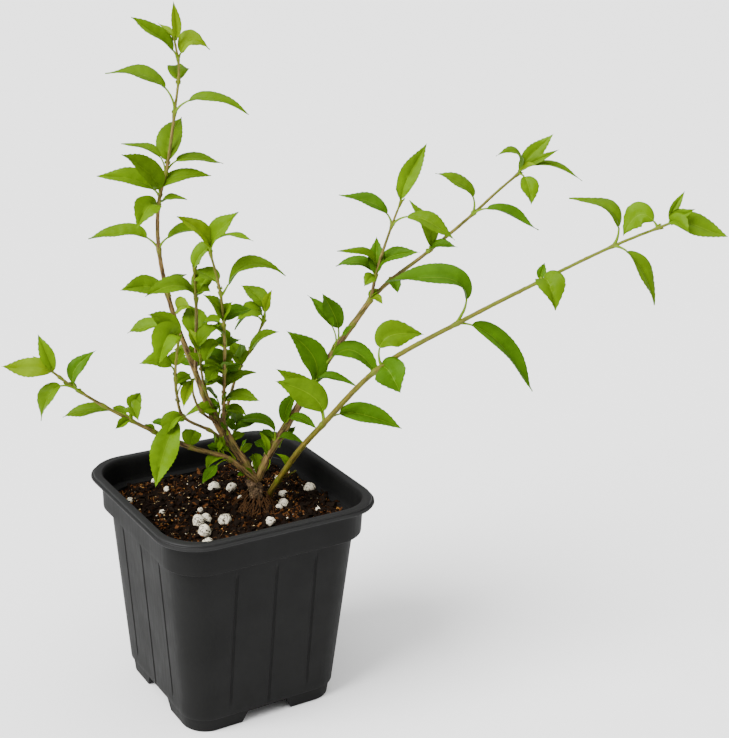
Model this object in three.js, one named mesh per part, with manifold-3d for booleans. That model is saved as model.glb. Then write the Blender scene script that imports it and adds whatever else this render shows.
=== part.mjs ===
// A young forsythia in its square black nursery pot: the moulded pot, the potting mix in it,
// the woody stump, the boughs and shoots that rise from it, and the leaves at their nodes.
// Millimetres, +Z up. The pot's sides are square to X and Y, its feet stand at z = 0, and the
// origin lies under the middle of the whole plant's plan.

import * as THREE from 'three';
import { mergeVertices } from 'three/addons/utils/BufferGeometryUtils.js';
import Module from 'manifold-3d';

const wasm = await Module();
wasm.setup();

// ---- driving sizes ------------------------------------------------------------------------

const POT_HEIGHT = 104.5;
const RIM_HALF = 54;            // half the outer side of the rim
const RIM_INNER_HALF = 49.3;
const RIM_THICKNESS = 2.4;
const COLLAR_HALF = 50;
const COLLAR_FOOT_HALF = 49.2;
const COLLAR_FOOT_Z = 87;       // where the collar steps out from the body
const BODY_TOP_HALF = 46.2;
const BODY_FOOT_HALF = 39.2;
const BODY_FOOT_Z = 7.2;        // where the body steps in to the skirt
const SKIRT_HALF = 38.4;
const FOOT_HALF = 37.7;
const FOOT_WIDTH = 1.7;
const WALL = 1.2;
const EDGE_EASE = 0.4;          // the slope on each step of the wall
const FLOOR_UNDERSIDE_Z = 6;
const CORNER_RATIO_FOOT = 0.31; // corner radius as a share of the half side
const CORNER_RATIO_RIM = 0.37;
const CORNER_STEPS = 4;
const NOTCH_WIDTH = 24;
const NOTCH_HEIGHT = 5.5;
const DRAIN_RADIUS = 4;
const DRAIN_OFFSET = 22;
const DRAIN_DEPTH = 7;          // deep enough to pass right through the floor
const DRAIN_SIDES = 10;

const SOIL_TOP_Z = 91.5;
const SOIL_CLEARANCE = 0.4;     // between the mix and the sloping wall
const GAP = 0.3;                // running gap between neighbouring solids
const GROUND_SPAN = 200;
const TOUCH = 1e-4;             // corners nearer than this are one corner

const PLANT_TURN = -32.7;       // degrees from the pot's square to the plant's spread
const STUMP_AT = { x: 12, y: 2 };
const STUMP_HEIGHT = 15;
const STUMP_LEAN = -2.5;
const STUMP_SIDES = 12;
const STUMP_RIDGES = 3;
const STUMP_PROFILE = [[6.8, 0], [5.2, 0.14], [4.2, 0.34], [4.1, 0.7], [3.3, 0.92], [1.6, 1]];

const LIMB_SIDES = 6;
const LIMB_STEP = 17;           // length of limb between two rings
const PAD_THICKNESS = 2.4;      // a leaf's pad, where the real blade arches and folds
const PAD_SIDES = 4;
const PAD_RINGS = 3;
const LONG_LEAF = 18;           // a leaf over this length bends over one more ring
const PAD_START = 0.8;          // from the stem's side to the start of a pad
const OPEN_SIDE = new THREE.Vector3(0, -0.95, 0.3);
const CORE_MARGIN = 3.2;        // how far a mass's core stands out from the stem in it
const CORE_RINGS = 3;
const SMALL_ROUGHNESS = 0.12;   // how uneven stump and pads are, as a share of their size

// Stems, with the plant's spread as x, depth as y and height as z. Each is one tapering limb:
// its foot and tip radius and the points that it passes.
const LIMBS = {
  left_bough: { foot: 2.4, tip: 1.9, path: [[11, 2, 104], [5, 3, 115], [0, 4, 122], [-3, 5, 128]] },
  low_left_stem: { foot: 1.7, tip: 0.6,
    path: [[11, 0, 106], [-1, -4, 118], [-19, -12, 127], [-43, -22, 143], [-63, -29, 158],
      [-74, -34, 169]] },
  right_bough: { foot: 2.2, tip: 1.1,
    path: [[12, 3, 105], [18, 6, 119], [25, 11, 130], [41, 21, 156], [62, 30, 187]] },
  long_right_stem: { foot: 1.9, tip: 0.8,
    path: [[14, 7, 90], [21, 4, 104], [31, -2, 123], [42, -8, 139], [66, -18, 170],
      [101, -30, 197], [131, -38, 218], [159, -44, 236], [180, -48, 247]] },
  tall_stem: { foot: 1.7, tip: 0.65,
    path: [[-4, 4, 126], [-10, 5, 137], [-18, 7, 158], [-28, 10, 184], [-34, 12, 212],
      [-34, 13, 232], [-30, 14, 250], [-27, 16, 272], [-25, 17, 292], [-27, 17, 305]] },
  middle_stem: { foot: 1.2, tip: 0.7,
    path: [[-4, 4, 127], [-3, -4, 150], [-2, -12, 178], [-3, -18, 201], [-7, -24, 222]] },
  inner_left_stem: { foot: 1.1, tip: 0.8, path: [[-17, 7, 156], [-16, 0, 172], [-15, -12, 211]] },
  inner_right_stem: { foot: 0.9, tip: 0.8,
    path: [[-4, 5, 129], [2, 16, 155], [7, 22, 163], [12, 30, 174]] },
  outer_left_stem: { foot: 0.9, tip: 0.6,
    path: [[-1, 4, 124], [-8, -4, 131], [-20, -14, 142], [-22, -20, 154], [-22, -24, 168],
      [-20, -26, 184]] },
  right_bough_upper_fork: { foot: 1, tip: 0.7,
    path: [[62, 30, 187], [64, 29, 200], [70, 26, 223], [74, 23, 236]] },
  right_bough_outer_fork: { foot: 1, tip: 0.9,
    path: [[62, 30, 187], [70, 34, 194], [86, 42, 205], [108, 50, 223], [130, 58, 242]] },
};

// Masses of leaves. Each node is [place along its stem from 0 to 1, its leaves], and each leaf
// is [right, away, up, width, arch, tilt]: the tip's offset from the node, the blade's width,
// its arch as a share of its length, and how far it is turned from the sky to the open side.
const MASSES = {
  tall_stem_top_leaves: { on: 'tall_stem', nodes: [
    [0.99, [[0, 1, 17, 5, 0.05, 0.8], [-8, 6, 7, 4, 0.1, 0.3]]],
    [0.95, [[-19, -6, 17, 9, 0.08, 0.4], [13, 2, 5, 10, 0.35, 0.4]]],
    [0.9, [[-2, 14, 7, 8, 0.15, 0.2]]]] },
  tall_stem_upper_leaves: { on: 'tall_stem', nodes: [
    [0.82, [[-30, 3, 16, 11, 0.2, 0.3], [33, -4, 2, 10, 0.2, 0.5]]]] },
  tall_stem_middle_leaves: { on: 'tall_stem', nodes: [
    [0.7, [[4, 18, 17, 12, 0.1, 0.4], [-19, 6, 11, 9, 0.22, 0.2], [25, 9, 4, 9, 0.18, 0.4]]],
    [0.62, [[23, 4, 11, 10, 0.2, 0.5], [-11, -12, 21, 12, 0.2, 0.6], [-27, -4, 8, 11, 0.2, 0.3],
      [-5, -16, -7, 12, 0.3, 0.5]]]] },
  tall_stem_lower_leaves: { on: 'tall_stem', nodes: [
    [0.49, [[-30, -3, 5, 10, 0.2, 0.4], [22, 3, 10, 10, 0.18, 0.4]]]] },
  tall_stem_foot_leaves: { on: 'tall_stem', nodes: [
    [0.38, [[-21, -6, 4, 11, 0.18, 0.4], [4, 18, 8, 9, 0.2, 0.2], [10, -8, 3, 6, 0.2, 0.3]]]] },
  middle_stem_top_leaves: { on: 'middle_stem', nodes: [
    [0.99, [[-13, -8, 16, 9, 0.15, 0.5], [12, -4, 19, 9, 0.15, 0.5], [19, -16, 11, 6, 0.1, 0.1]]]] },
  middle_stem_upper_leaves: { on: 'middle_stem', nodes: [
    [0.78, [[28, -4, 11, 10, 0.32, 0.3], [-12, 8, 9, 9, 0.1, 0.3]]]] },
  middle_stem_lower_leaves: { on: 'middle_stem', nodes: [
    [0.61, [[-8, -8, 17, 8, 0.12, 0.5], [3, -4, 13, 8, 0.1, 0.5], [8, 12, 7, 8, 0.2, 0.3]]]] },
  crown_heart_leaves: { on: 'middle_stem', nodes: [
    [0.37, [[-11, 8, 6, 9, 0.2, 0.2], [-2, 12, 6, 9, 0.15, 0.2], [-10, -4, 24, 8, 0.1, 0.5]]],
    [0.22, [[14, 6, 11, 9, 0.2, 0.3], [16, -8, 8, 8, 0.2, 0.3], [-12, -5, 13, 8, 0.2, 0.3]]]] },
  inner_left_stem_top_leaf: { on: 'inner_left_stem', nodes: [
    [0.99, [[8, -6, 13, 8, 0.1, 0.6]]]] },
  inner_left_stem_leaves: { on: 'inner_left_stem', nodes: [
    [0.71, [[-20, -14, 5, 11, 0.22, 0.3], [6, 13, 12, 10, 0.1, 0.3]]]] },
  inner_left_stem_low_leaf: { on: 'inner_left_stem', nodes: [
    [0.31, [[-5, 14, 13, 12, 0.1, 0.4]]]] },
  inner_right_stem_top_leaves: { on: 'inner_right_stem', nodes: [
    [0.98, [[-11, 8, 15, 9, 0.25, 0.4], [4, -3, 17, 5, 0.05, 0.8], [-12, -8, 3, 9, 0.35, 0.4]]]] },
  inner_right_stem_leaves: { on: 'inner_right_stem', nodes: [
    [0.65, [[13, -6, 14, 5, 0.2, 0.5], [-5, 8, 11, 9, 0.15, 0.4]]]] },
  outer_left_stem_top_leaves: { on: 'outer_left_stem', nodes: [
    [0.98, [[-12, -8, 12, 10, 0.12, 0.7], [-7, -14, -8, 12, 0.4, 0.8], [-23, 4, 1, 10, 0.2, 0.3]]]] },
  outer_left_stem_leaves: { on: 'outer_left_stem', nodes: [
    [0.72, [[-15, -4, 8, 10, 0.2, 0.3], [2, 6, 11, 8, 0.1, 0.4]]]] },
  outer_left_stem_hanging_leaf: { on: 'outer_left_stem', nodes: [
    [0.42, [[-11, -16, -28, 12, 0.12, 0.6], [-5, 6, 17, 7, 0.2, 0.3]]]] },
  low_left_stem_foot_leaves: { on: 'low_left_stem', nodes: [
    [0.15, [[-10, -6, -5, 6, 0.3, 0.3], [-11, -14, -6, 6, 0.1, 0.4]]]] },
  low_left_stem_inner_leaf: { on: 'low_left_stem', nodes: [
    [0.33, [[1, 6, 7, 9, 0.15, 0.4]]]] },
  low_left_stem_middle_leaves: { on: 'low_left_stem', nodes: [
    [0.61, [[4, 4, 11, 7, 0.2, 0.5], [6, -12, 5, 8, 0.4, 0.5], [-32, 6, -2, 9, 0.14, 0.3]]]] },
  low_left_stem_outer_leaves: { on: 'low_left_stem', nodes: [
    [0.85, [[6, 4, 18, 7, 0.3, 0.5], [-16, -8, -11, 9, 0.4, 0.5]]]] },
  low_left_stem_tip_leaves: { on: 'low_left_stem', nodes: [
    [0.99, [[-20, -6, 4, 9, 0.05, 0.7], [-6, 3, 16, 7, 0.06, 0.8]]]] },
  right_bough_foot_leaves: { on: 'right_bough', nodes: [
    [0.22, [[-27, 10, 4, 7, 0.3, 0.2], [15, -9, 4, 7, 0.28, 0.3], [2, 9, 16, 8, 0.15, 0.3]]]] },
  right_bough_middle_leaves: { on: 'right_bough', nodes: [
    [0.58, [[28, -9, 0, 12, 0.4, 0.3]]],
    [0.49, [[-12, 4, 26, 12, 0.24, 0.5], [23, -5, 5, 7, 0.24, 0.3]]]] },
  right_bough_upper_leaves: { on: 'right_bough', nodes: [
    [0.71, [[-12, 6, 27, 7, 0.2, 0.4], [-5, -4, 31, 9, 0.2, 0.7]]]] },
  upper_fork_foot_leaves: { on: 'right_bough_upper_fork', nodes: [
    [0.21, [[-18, -6, 13, 7, 0.27, 0.4], [-18, 4, 4, 8, 0.25, 0.4], [0, 6, 18, 7, 0.1, 0.5],
      [20, -4, 14, 8, 0.2, 0.4]]]] },
  upper_fork_middle_leaves: { on: 'right_bough_upper_fork', nodes: [
    [0.73, [[-24, 3, 14, 9, 0.18, 0.4], [28, -10, -3, 9, 0.2, 0.4]]]] },
  upper_fork_tip_leaf: { on: 'right_bough_upper_fork', nodes: [
    [0.98, [[10, 4, 26, 10, 0.05, 0.8]]]] },
  outer_fork_foot_leaves: { on: 'right_bough_outer_fork', nodes: [
    [0.38, [[-9, 4, 24, 10, 0.2, 0.5], [14, -6, 5, 6, 0.15, 0.4]]]] },
  outer_fork_middle_leaves: { on: 'right_bough_outer_fork', nodes: [
    [0.67, [[-18, 4, 18, 9, 0.24, 0.3], [31, -8, -4, 9, 0.16, 0.3]]]] },
  outer_fork_tip_leaves: { on: 'right_bough_outer_fork', nodes: [
    [0.99, [[-12, -8, 10, 8, 0.4, 0.3], [5, -12, -12, 9, 0.15, 0.5], [15, 3, 19, 9, 0.05, 0.8],
      [30, -2, -2, 6, 0.2, 0.3]]]] },
  long_stem_foot_leaves: { on: 'long_right_stem', nodes: [
    [0.24, [[36, -4, 2, 11, 0.16, 0.5], [-22, -2, 21, 14, 0.22, 0.9]]]] },
  long_stem_lower_leaves: { on: 'long_right_stem', nodes: [
    [0.42, [[18, 4, 14, 13, 0.38, 0.6], [8, -12, -8, 14, 0.1, 0.9]]]] },
  long_stem_middle_leaves: { on: 'long_right_stem', nodes: [
    [0.59, [[-31, -4, 18, 14, 0.42, 0.4], [34, -6, -27, 12, 0.13, 0.4]]]] },
  long_stem_upper_leaf: { on: 'long_right_stem', nodes: [
    [0.76, [[5, -14, -8, 13, 0.35, 0.6]]]] },
  long_stem_outer_leaves: { on: 'long_right_stem', nodes: [
    [0.9, [[-19, 4, 18, 10, 0.34, 0.4], [18, -8, -22, 10, 0.17, 0.3]]]] },
  long_stem_tip_leaves: { on: 'long_right_stem', nodes: [
    [0.99, [[24, -4, -3, 10, 0.06, 0.6], [6, 3, 13, 5, 0.05, 0.8], [6, -10, -1, 7, 0.2, 0.7],
      [-13, 3, -4, 10, 0.45, 0.7]]]] },
};

// ---- materials ------------------------------------------------------------------------------

const finish = (color, roughness) => new THREE.MeshStandardMaterial({ color, roughness, metalness: 0 });
const plastic = () => finish(0x2b2b2a, 0.55);
const peat = () => finish(0x1d1512, 0.95);
const bark = () => finish(0x7a5a34, 0.8);
const greenBark = () => finish(0x8f8a35, 0.7);
const leafGreen = () => finish(0x5f9e12, 0.5);

// ---- solids and meshes ----------------------------------------------------------------------

// Turns a closed geometry into a solid: shared corners are merged and flat triangles dropped.
function solid(geometry) {
  const bare = geometry.index ? geometry.toNonIndexed() : geometry.clone();
  bare.deleteAttribute('normal');
  bare.deleteAttribute('uv');
  const merged = mergeVertices(bare, TOUCH);
  const index = merged.index.array;
  const kept = [];
  for (let i = 0; i < index.length; i += 3) {
    const [a, b, c] = [index[i], index[i + 1], index[i + 2]];
    if (a !== b && b !== c && c !== a) {
      kept.push(a, b, c);
    }
  }
  return new wasm.Manifold(new wasm.Mesh({
    numProp: 3,
    vertProperties: new Float32Array(merged.attributes.position.array),
    triVerts: new Uint32Array(kept),
  }));
}

const join = (solids) => solids.reduce((whole, part) => whole.add(part));

function largestPiece(body) {
  const pieces = body.decompose();
  return pieces.reduce((best, piece) => (piece.volume() > best.volume() ? piece : best));
}

function meshOf(name, body, material) {
  const { vertProperties, triVerts } = body.getMesh();
  const geometry = new THREE.BufferGeometry();
  geometry.setAttribute('position', new THREE.BufferAttribute(new Float32Array(vertProperties), 3));
  geometry.setIndex(new THREE.BufferAttribute(new Uint32Array(triVerts), 1));
  geometry.computeVertexNormals();
  const mesh = new THREE.Mesh(geometry, material);
  mesh.name = name;
  return mesh;
}

// Moves every corner of a geometry to where the function puts it.
function reshape(geometry, place) {
  const position = geometry.attributes.position;
  const corner = new THREE.Vector3();
  for (let i = 0; i < position.count; i += 1) {
    corner.fromBufferAttribute(position, i);
    place(corner);
    position.setXYZ(i, corner.x, corner.y, corner.z);
  }
  return geometry;
}

// A repeatable unevenness between -1 and 1 that changes smoothly with place.
function unevenness(x, y, z) {
  const waves = [0.9 * x + 2.1 * y, 0.7 * y - 1.3 * z + 1.7, 0.8 * z + 1.1 * x];
  return waves.reduce((sum, wave) => sum + Math.sin(wave), 0) / waves.length;
}

// ---- pot and soil ---------------------------------------------------------------------------

// A round profile of [half side, height], turned and then squared: its circles become rounded
// squares whose corners grow rounder from foot to rim.
function squaredLathe(profile) {
  const around = 4 * (CORNER_STEPS + 1);
  const points = profile.map(([half, z]) => new THREE.Vector2(half, z));
  const turned = new THREE.LatheGeometry(points, around);
  turned.rotateX(Math.PI / 2);
  return reshape(turned, (corner) => {
    const half = Math.hypot(corner.x, corner.y);
    if (half < TOUCH) {
      return;
    }
    const turn = (Math.atan2(corner.y, corner.x) / (2 * Math.PI) + 1) % 1;
    const step = Math.round(turn * around) % around;
    const quarter = Math.floor(step / (CORNER_STEPS + 1));
    const arc = (step % (CORNER_STEPS + 1)) / CORNER_STEPS;
    const share = THREE.MathUtils.lerp(CORNER_RATIO_FOOT, CORNER_RATIO_RIM, corner.z / POT_HEIGHT);
    const radius = half * share;
    const angle = (quarter + arc) * Math.PI / 2;
    const centre = half - radius;
    const side = quarter * Math.PI / 2 + Math.PI / 4;
    corner.x = centre * Math.SQRT2 * Math.cos(side) + radius * Math.cos(angle);
    corner.y = centre * Math.SQRT2 * Math.sin(side) + radius * Math.sin(angle);
  });
}

function potBody() {
  const floorTop = FLOOR_UNDERSIDE_Z + WALL;
  const rimUnder = POT_HEIGHT - RIM_THICKNESS;
  const shell = solid(squaredLathe([
    [0, FLOOR_UNDERSIDE_Z],
    [FOOT_HALF - FOOT_WIDTH, FLOOR_UNDERSIDE_Z],
    [FOOT_HALF - FOOT_WIDTH, 0],
    [FOOT_HALF, 0],
    [SKIRT_HALF, BODY_FOOT_Z - EDGE_EASE],
    [BODY_FOOT_HALF, BODY_FOOT_Z],
    [BODY_TOP_HALF, COLLAR_FOOT_Z],
    [COLLAR_FOOT_HALF, COLLAR_FOOT_Z + EDGE_EASE],
    [COLLAR_HALF, rimUnder],
    [RIM_HALF - EDGE_EASE, rimUnder],
    [RIM_HALF, rimUnder + RIM_THICKNESS / 2],
    [RIM_HALF - 2 * EDGE_EASE, POT_HEIGHT],
    [RIM_INNER_HALF, POT_HEIGHT],
    [COLLAR_HALF - WALL, rimUnder],
    [COLLAR_FOOT_HALF - WALL, COLLAR_FOOT_Z + WALL],
    [BODY_TOP_HALF - WALL, COLLAR_FOOT_Z],
    [BODY_FOOT_HALF - WALL, floorTop],
    [0, floorTop],
  ]));
  const notchX = new THREE.BoxGeometry(3 * FOOT_HALF, NOTCH_WIDTH, NOTCH_HEIGHT * 2);
  const notchY = new THREE.BoxGeometry(NOTCH_WIDTH, 3 * FOOT_HALF, NOTCH_HEIGHT * 2);
  let body = shell.subtract(solid(notchX)).subtract(solid(notchY));
  for (const sideX of [-1, 1]) {
    for (const sideY of [-1, 1]) {
      const hole = new THREE.CylinderGeometry(DRAIN_RADIUS, DRAIN_RADIUS, DRAIN_DEPTH, DRAIN_SIDES);
      hole.rotateX(Math.PI / 2);
      hole.translate(sideX * DRAIN_OFFSET, sideY * DRAIN_OFFSET, FLOOR_UNDERSIDE_Z + WALL / 2);
      body = body.subtract(solid(hole));
    }
  }
  return body;
}

// The potting mix fills the pot to a finger's width under the rim. It reaches the collar.
function soilBody() {
  const inset = WALL + SOIL_CLEARANCE;
  return solid(squaredLathe([
    [0, FLOOR_UNDERSIDE_Z + WALL + GAP],
    [BODY_FOOT_HALF - inset, FLOOR_UNDERSIDE_Z + WALL + GAP],
    [BODY_TOP_HALF - inset, COLLAR_FOOT_Z + WALL / 2],
    [COLLAR_FOOT_HALF - inset, COLLAR_FOOT_Z + 2 * WALL],
    [COLLAR_FOOT_HALF - inset, SOIL_TOP_Z],
    [0, SOIL_TOP_Z],
  ]));
}

// ---- stump and limbs ------------------------------------------------------------------------

// The stump's flat foot lies on the soil. It flares there, leans and has a knobbly head.
function stumpBody(grow) {
  const points = [
    new THREE.Vector2(0, -grow),
    ...STUMP_PROFILE.map(([radius, share]) => new THREE.Vector2(
      radius + grow, share * (STUMP_HEIGHT + 2 * grow) - grow)),
    new THREE.Vector2(0, STUMP_HEIGHT + grow),
  ];
  const turned = new THREE.LatheGeometry(points, STUMP_SIDES);
  turned.rotateX(Math.PI / 2);
  return solid(reshape(turned, (corner) => {
    const rise = corner.z / STUMP_HEIGHT;
    const turn = Math.atan2(corner.y, corner.x);
    const ridge = unevenness(STUMP_RIDGES * Math.cos(turn), STUMP_RIDGES * Math.sin(turn), 4 * rise);
    const swell = 1 + SMALL_ROUGHNESS * ridge;
    corner.x = corner.x * swell + STUMP_AT.x + STUMP_LEAN * rise * rise;
    corner.y = corner.y * swell + STUMP_AT.y;
    corner.z += SOIL_TOP_Z + GAP;
  }));
}

// A tube round a stretch of a curve. Its radius is given as a function of the place along it.
function tube(curve, radiusAt, from, to, sides, rings) {
  const depth = new THREE.Vector3(0, 1, 0);
  const straight = new THREE.CylinderGeometry(1, 1, 1, sides, rings);
  return reshape(straight, (corner) => {
    const place = THREE.MathUtils.clamp(from + (to - from) * (corner.y + 0.5), 0, 1);
    const tangent = curve.getTangentAt(place);
    const across = new THREE.Vector3().crossVectors(tangent, depth).normalize();
    const through = new THREE.Vector3().crossVectors(across, tangent).normalize();
    const radius = radiusAt(place);
    const centre = curve.getPointAt(place);
    centre.addScaledVector(across, corner.x * radius);
    centre.addScaledVector(through, corner.z * radius);
    corner.copy(centre);
  });
}

function limbBody(limb, grow) {
  const rings = Math.max(2, Math.round(limb.curve.getLength() / LIMB_STEP));
  return solid(tube(limb.curve, (place) => limb.radiusAt(place) + grow, 0, 1, LIMB_SIDES, rings));
}

function preparedLimb({ foot, tip, path }) {
  const curve = new THREE.CatmullRomCurve3(path.map((point) => new THREE.Vector3(...point)));
  return { curve, radiusAt: (place) => THREE.MathUtils.lerp(foot, tip, place) };
}

// ---- masses of leaves -----------------------------------------------------------------------

// One leaf's pad: a flattened, pointed ball drawn out from the node to the tip along an arch.
function leafPad(base, stemRadius, [right, away, up, width, arch, tilt], grow) {
  const reach = new THREE.Vector3(right, away, up);
  const length = reach.length();
  const along = reach.clone().normalize();
  const sky = new THREE.Vector3(0, 0, 1).addScaledVector(along, -along.z).normalize();
  const front = OPEN_SIDE.clone().addScaledVector(along, -OPEN_SIDE.dot(along)).normalize();
  const upper = sky.clone().lerp(front, tilt).normalize();
  const across = new THREE.Vector3().crossVectors(along, upper);
  const start = (stemRadius + PAD_START) / length;
  const ball = new THREE.SphereGeometry(1, PAD_SIDES, length > LONG_LEAF ? PAD_RINGS + 1 : PAD_RINGS);
  return solid(reshape(ball, (corner) => {
    const share = (1 + corner.y * (1 + 2 * grow / length)) / 2;
    const taper = 1 + SMALL_ROUGHNESS * unevenness(corner.x * 2 + right, corner.y * 3, away + up);
    const side = corner.x * (width * taper / 2 + grow);
    const thick = corner.z * (PAD_THICKNESS / 2 + grow);
    corner.copy(base).addScaledVector(reach, start + (1 - start) * share);
    corner.addScaledVector(sky, arch * length * 4 * share * (1 - share));
    corner.addScaledVector(across, side).addScaledVector(upper, thick);
  }));
}

// A mass of leaves before it is cut: the pads from each node, a knot where they spring from the
// stem, and a core up the stem where the mass spans several nodes.
function massBody(limb, nodes, grow) {
  const parts = [];
  for (const [place, leaves] of nodes) {
    const base = limb.curve.getPointAt(place);
    const knot = new THREE.OctahedronGeometry(limb.radiusAt(place) + CORE_MARGIN + grow, 0);
    parts.push(solid(knot.translate(base.x, base.y, base.z)));
    for (const leaf of leaves) {
      parts.push(leafPad(base, limb.radiusAt(place), leaf, grow));
    }
  }
  if (nodes.length > 1) {
    const places = nodes.map(([place]) => place);
    const radiusAt = (place) => limb.radiusAt(place) + CORE_MARGIN / 2 + grow;
    const past = grow / limb.curve.getLength();
    const span = [Math.min(...places) - past, Math.max(...places) + past];
    parts.push(solid(tube(limb.curve, radiusAt, ...span, LIMB_SIDES, CORE_RINGS)));
  }
  return join(parts);
}

const boxesMeet = (a, b) => [0, 1, 2].every((i) => a.min[i] <= b.max[i] && b.min[i] <= a.max[i]);

// ---- assembly -------------------------------------------------------------------------------

const pot = new THREE.Group();
pot.add(meshOf('pot', potBody(), plastic()));
pot.add(meshOf('soil', soilBody(), peat()));

const plant = new THREE.Group();
plant.rotation.z = THREE.MathUtils.degToRad(PLANT_TURN);

const groundTop = SOIL_TOP_Z + GAP;
const groundBlock = new THREE.BoxGeometry(GROUND_SPAN, GROUND_SPAN, groundTop);
const ground = solid(groundBlock.translate(0, 0, groundTop / 2));
plant.add(meshOf('stump', stumpBody(0), bark()));

// Each limb is cut clear of the ground, the stump and the limbs that it springs from.
let wood = stumpBody(GAP);
const limbs = {};
for (const [name, sizes] of Object.entries(LIMBS)) {
  const limb = preparedLimb(sizes);
  limbs[name] = limb;
  const body = largestPiece(limbBody(limb, 0).subtract(ground).subtract(wood));
  plant.add(meshOf(name, body, name === 'long_right_stem' ? greenBark() : bark()));
  wood = wood.add(limbBody(limb, GAP));
}

// Each mass is cut round the wood and clear of the masses before it.
const placed = [];
for (const [name, { on, nodes }] of Object.entries(MASSES)) {
  let body = massBody(limbs[on], nodes, 0).subtract(wood).subtract(ground);
  for (const earlier of placed) {
    if (boxesMeet(body.boundingBox(), earlier.boundingBox())) {
      body = body.subtract(earlier);
    }
  }
  plant.add(meshOf(name, largestPiece(body), leafGreen()));
  placed.push(massBody(limbs[on], nodes, GAP));
}

const model = new THREE.Group();
model.add(pot, plant);
model.updateMatrixWorld(true);

const whole = new THREE.Group();
const middle = new THREE.Box3().setFromObject(model, true).getCenter(new THREE.Vector3());
model.position.set(-middle.x, -middle.y, 0);
whole.add(model);

export default whole;
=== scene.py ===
import math
import random

import bmesh
import bpy
import numpy as np
from mathutils import Matrix, Vector, noise


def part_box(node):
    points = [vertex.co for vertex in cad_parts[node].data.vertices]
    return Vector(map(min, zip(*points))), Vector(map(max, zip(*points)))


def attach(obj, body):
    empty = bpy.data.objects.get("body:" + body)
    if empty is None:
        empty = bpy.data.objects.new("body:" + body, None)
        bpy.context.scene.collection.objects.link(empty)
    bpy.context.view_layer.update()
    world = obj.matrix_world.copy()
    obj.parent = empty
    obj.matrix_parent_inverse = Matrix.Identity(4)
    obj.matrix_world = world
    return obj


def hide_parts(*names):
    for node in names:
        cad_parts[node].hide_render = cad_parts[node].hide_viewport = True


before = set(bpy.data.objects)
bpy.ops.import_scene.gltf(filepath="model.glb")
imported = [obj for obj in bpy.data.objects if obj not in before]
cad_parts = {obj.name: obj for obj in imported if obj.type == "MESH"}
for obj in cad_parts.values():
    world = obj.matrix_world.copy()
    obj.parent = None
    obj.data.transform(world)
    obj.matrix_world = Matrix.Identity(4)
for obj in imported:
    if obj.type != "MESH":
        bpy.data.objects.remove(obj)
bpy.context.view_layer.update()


# ---- Viewpoint ------------------------------------------------------------------------------
# The camera stands in front of the pot's left corner, a little above the rim, and looks down
# on it. Its place is given from the middle of the pot's foot.

mm = 0.001
pot_low, pot_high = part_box("pot")
pot_middle = Vector(((pot_low[0] + pot_high[0]) / 2, (pot_low[1] + pot_high[1]) / 2, 0))
view_turn = math.radians(-32.68)
view_pitch = math.radians(19.72)
view_roll = math.radians(2.13)
view_from_pot = Vector((-277.9, -544.6, 381.0)) * mm


def add_object(name, data):
    """Puts a new object in the scene, at the origin and unturned."""
    made = bpy.data.objects.new(name, data)
    bpy.context.collection.objects.link(made)
    return made


camera = add_object("camera", bpy.data.cameras.new("camera"))
camera.data.lens = 69.75
camera.matrix_world = (Matrix.Translation(pot_middle + view_from_pot) @ Matrix.Rotation(view_turn, 4, "Z")
                       @ Matrix.Rotation(math.pi / 2 - view_pitch, 4, "X")
                       @ Matrix.Rotation(view_roll, 4, "Z"))
bpy.context.scene.camera = camera


# ---- Pot ------------------------------------------------------------------------------------
# A square tapered nursery pot, injection moulded in black polypropylene. A collar with a flat
# rolled rim steps out from the body, each side has three shallow flutes and a notch at its
# foot, and the floor is raised with four drain holes.

pot_height = 104.5
corner_share_foot = 0.31
corner_share_rim = 0.37
corner_steps = 12
flute_offsets = (-20.0, 0.0, 20.0)
flute_half_width = 0.8
flute_depth = 0.55
flute_foot = 13.0
middle_flute_foot = 7.5
flute_top = 83.0
flute_run_out = 2
narrowest_full_side = 23

# The wall's section, half width and height: from under the floor, up the outside, over the rim
# and down inside.
wall_section = [(12, 6), (24, 6), (35.6, 6), (36, 5.6), (36.3, 0.4), (36.6, 0), (37.3, 0), (37.7, 0.4),
                (38.1, 4), (38.4, 6.5), (38.7, 6.9), (39.1, 7.1), (39.3, 7.6)]
wall_section += [(39.3 + 6.9 * (z - 7.6) / 78.9, z) for z in np.arange(10, 86, 2.5)]
wall_section += [(46.2, 86.1), (46.5, 86.6), (48.3, 86.8), (48.9, 87), (49.3, 87.4), (49.4, 88), (49.45, 90),
                 (49.6, 94), (49.8, 98), (49.95, 100.4), (50.2, 101), (51, 101.3), (53.1, 101.4),
                 (53.7, 101.7), (54, 102.2), (53.95, 102.7), (53.6, 103), (53.1, 103.1), (52.95, 103.3),
                 (53, 103.8), (52.8, 104.2), (52.3, 104.45), (51.6, 104.5), (50.6, 104.5), (49.9, 104.3),
                 (49.5, 103.8), (49.3, 103), (48.9, 99), (48.6, 95), (48.45, 92.6), (48.2, 92.2), (47.4, 92),
                 (45.4, 91.6), (44.9, 86), (42, 52), (38.2, 7.8), (37.6, 7.2), (24, 7.2), (12, 7.2)]

# Where points stand along a side: seven across each flute, and two between one flute and the next.
side_stations = sorted([offset + step * flute_half_width for offset in flute_offsets
                        for step in (-1, -0.6, -0.3, 0, 0.3, 0.6, 1)] + [-13, -7, 7, 13])


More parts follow.
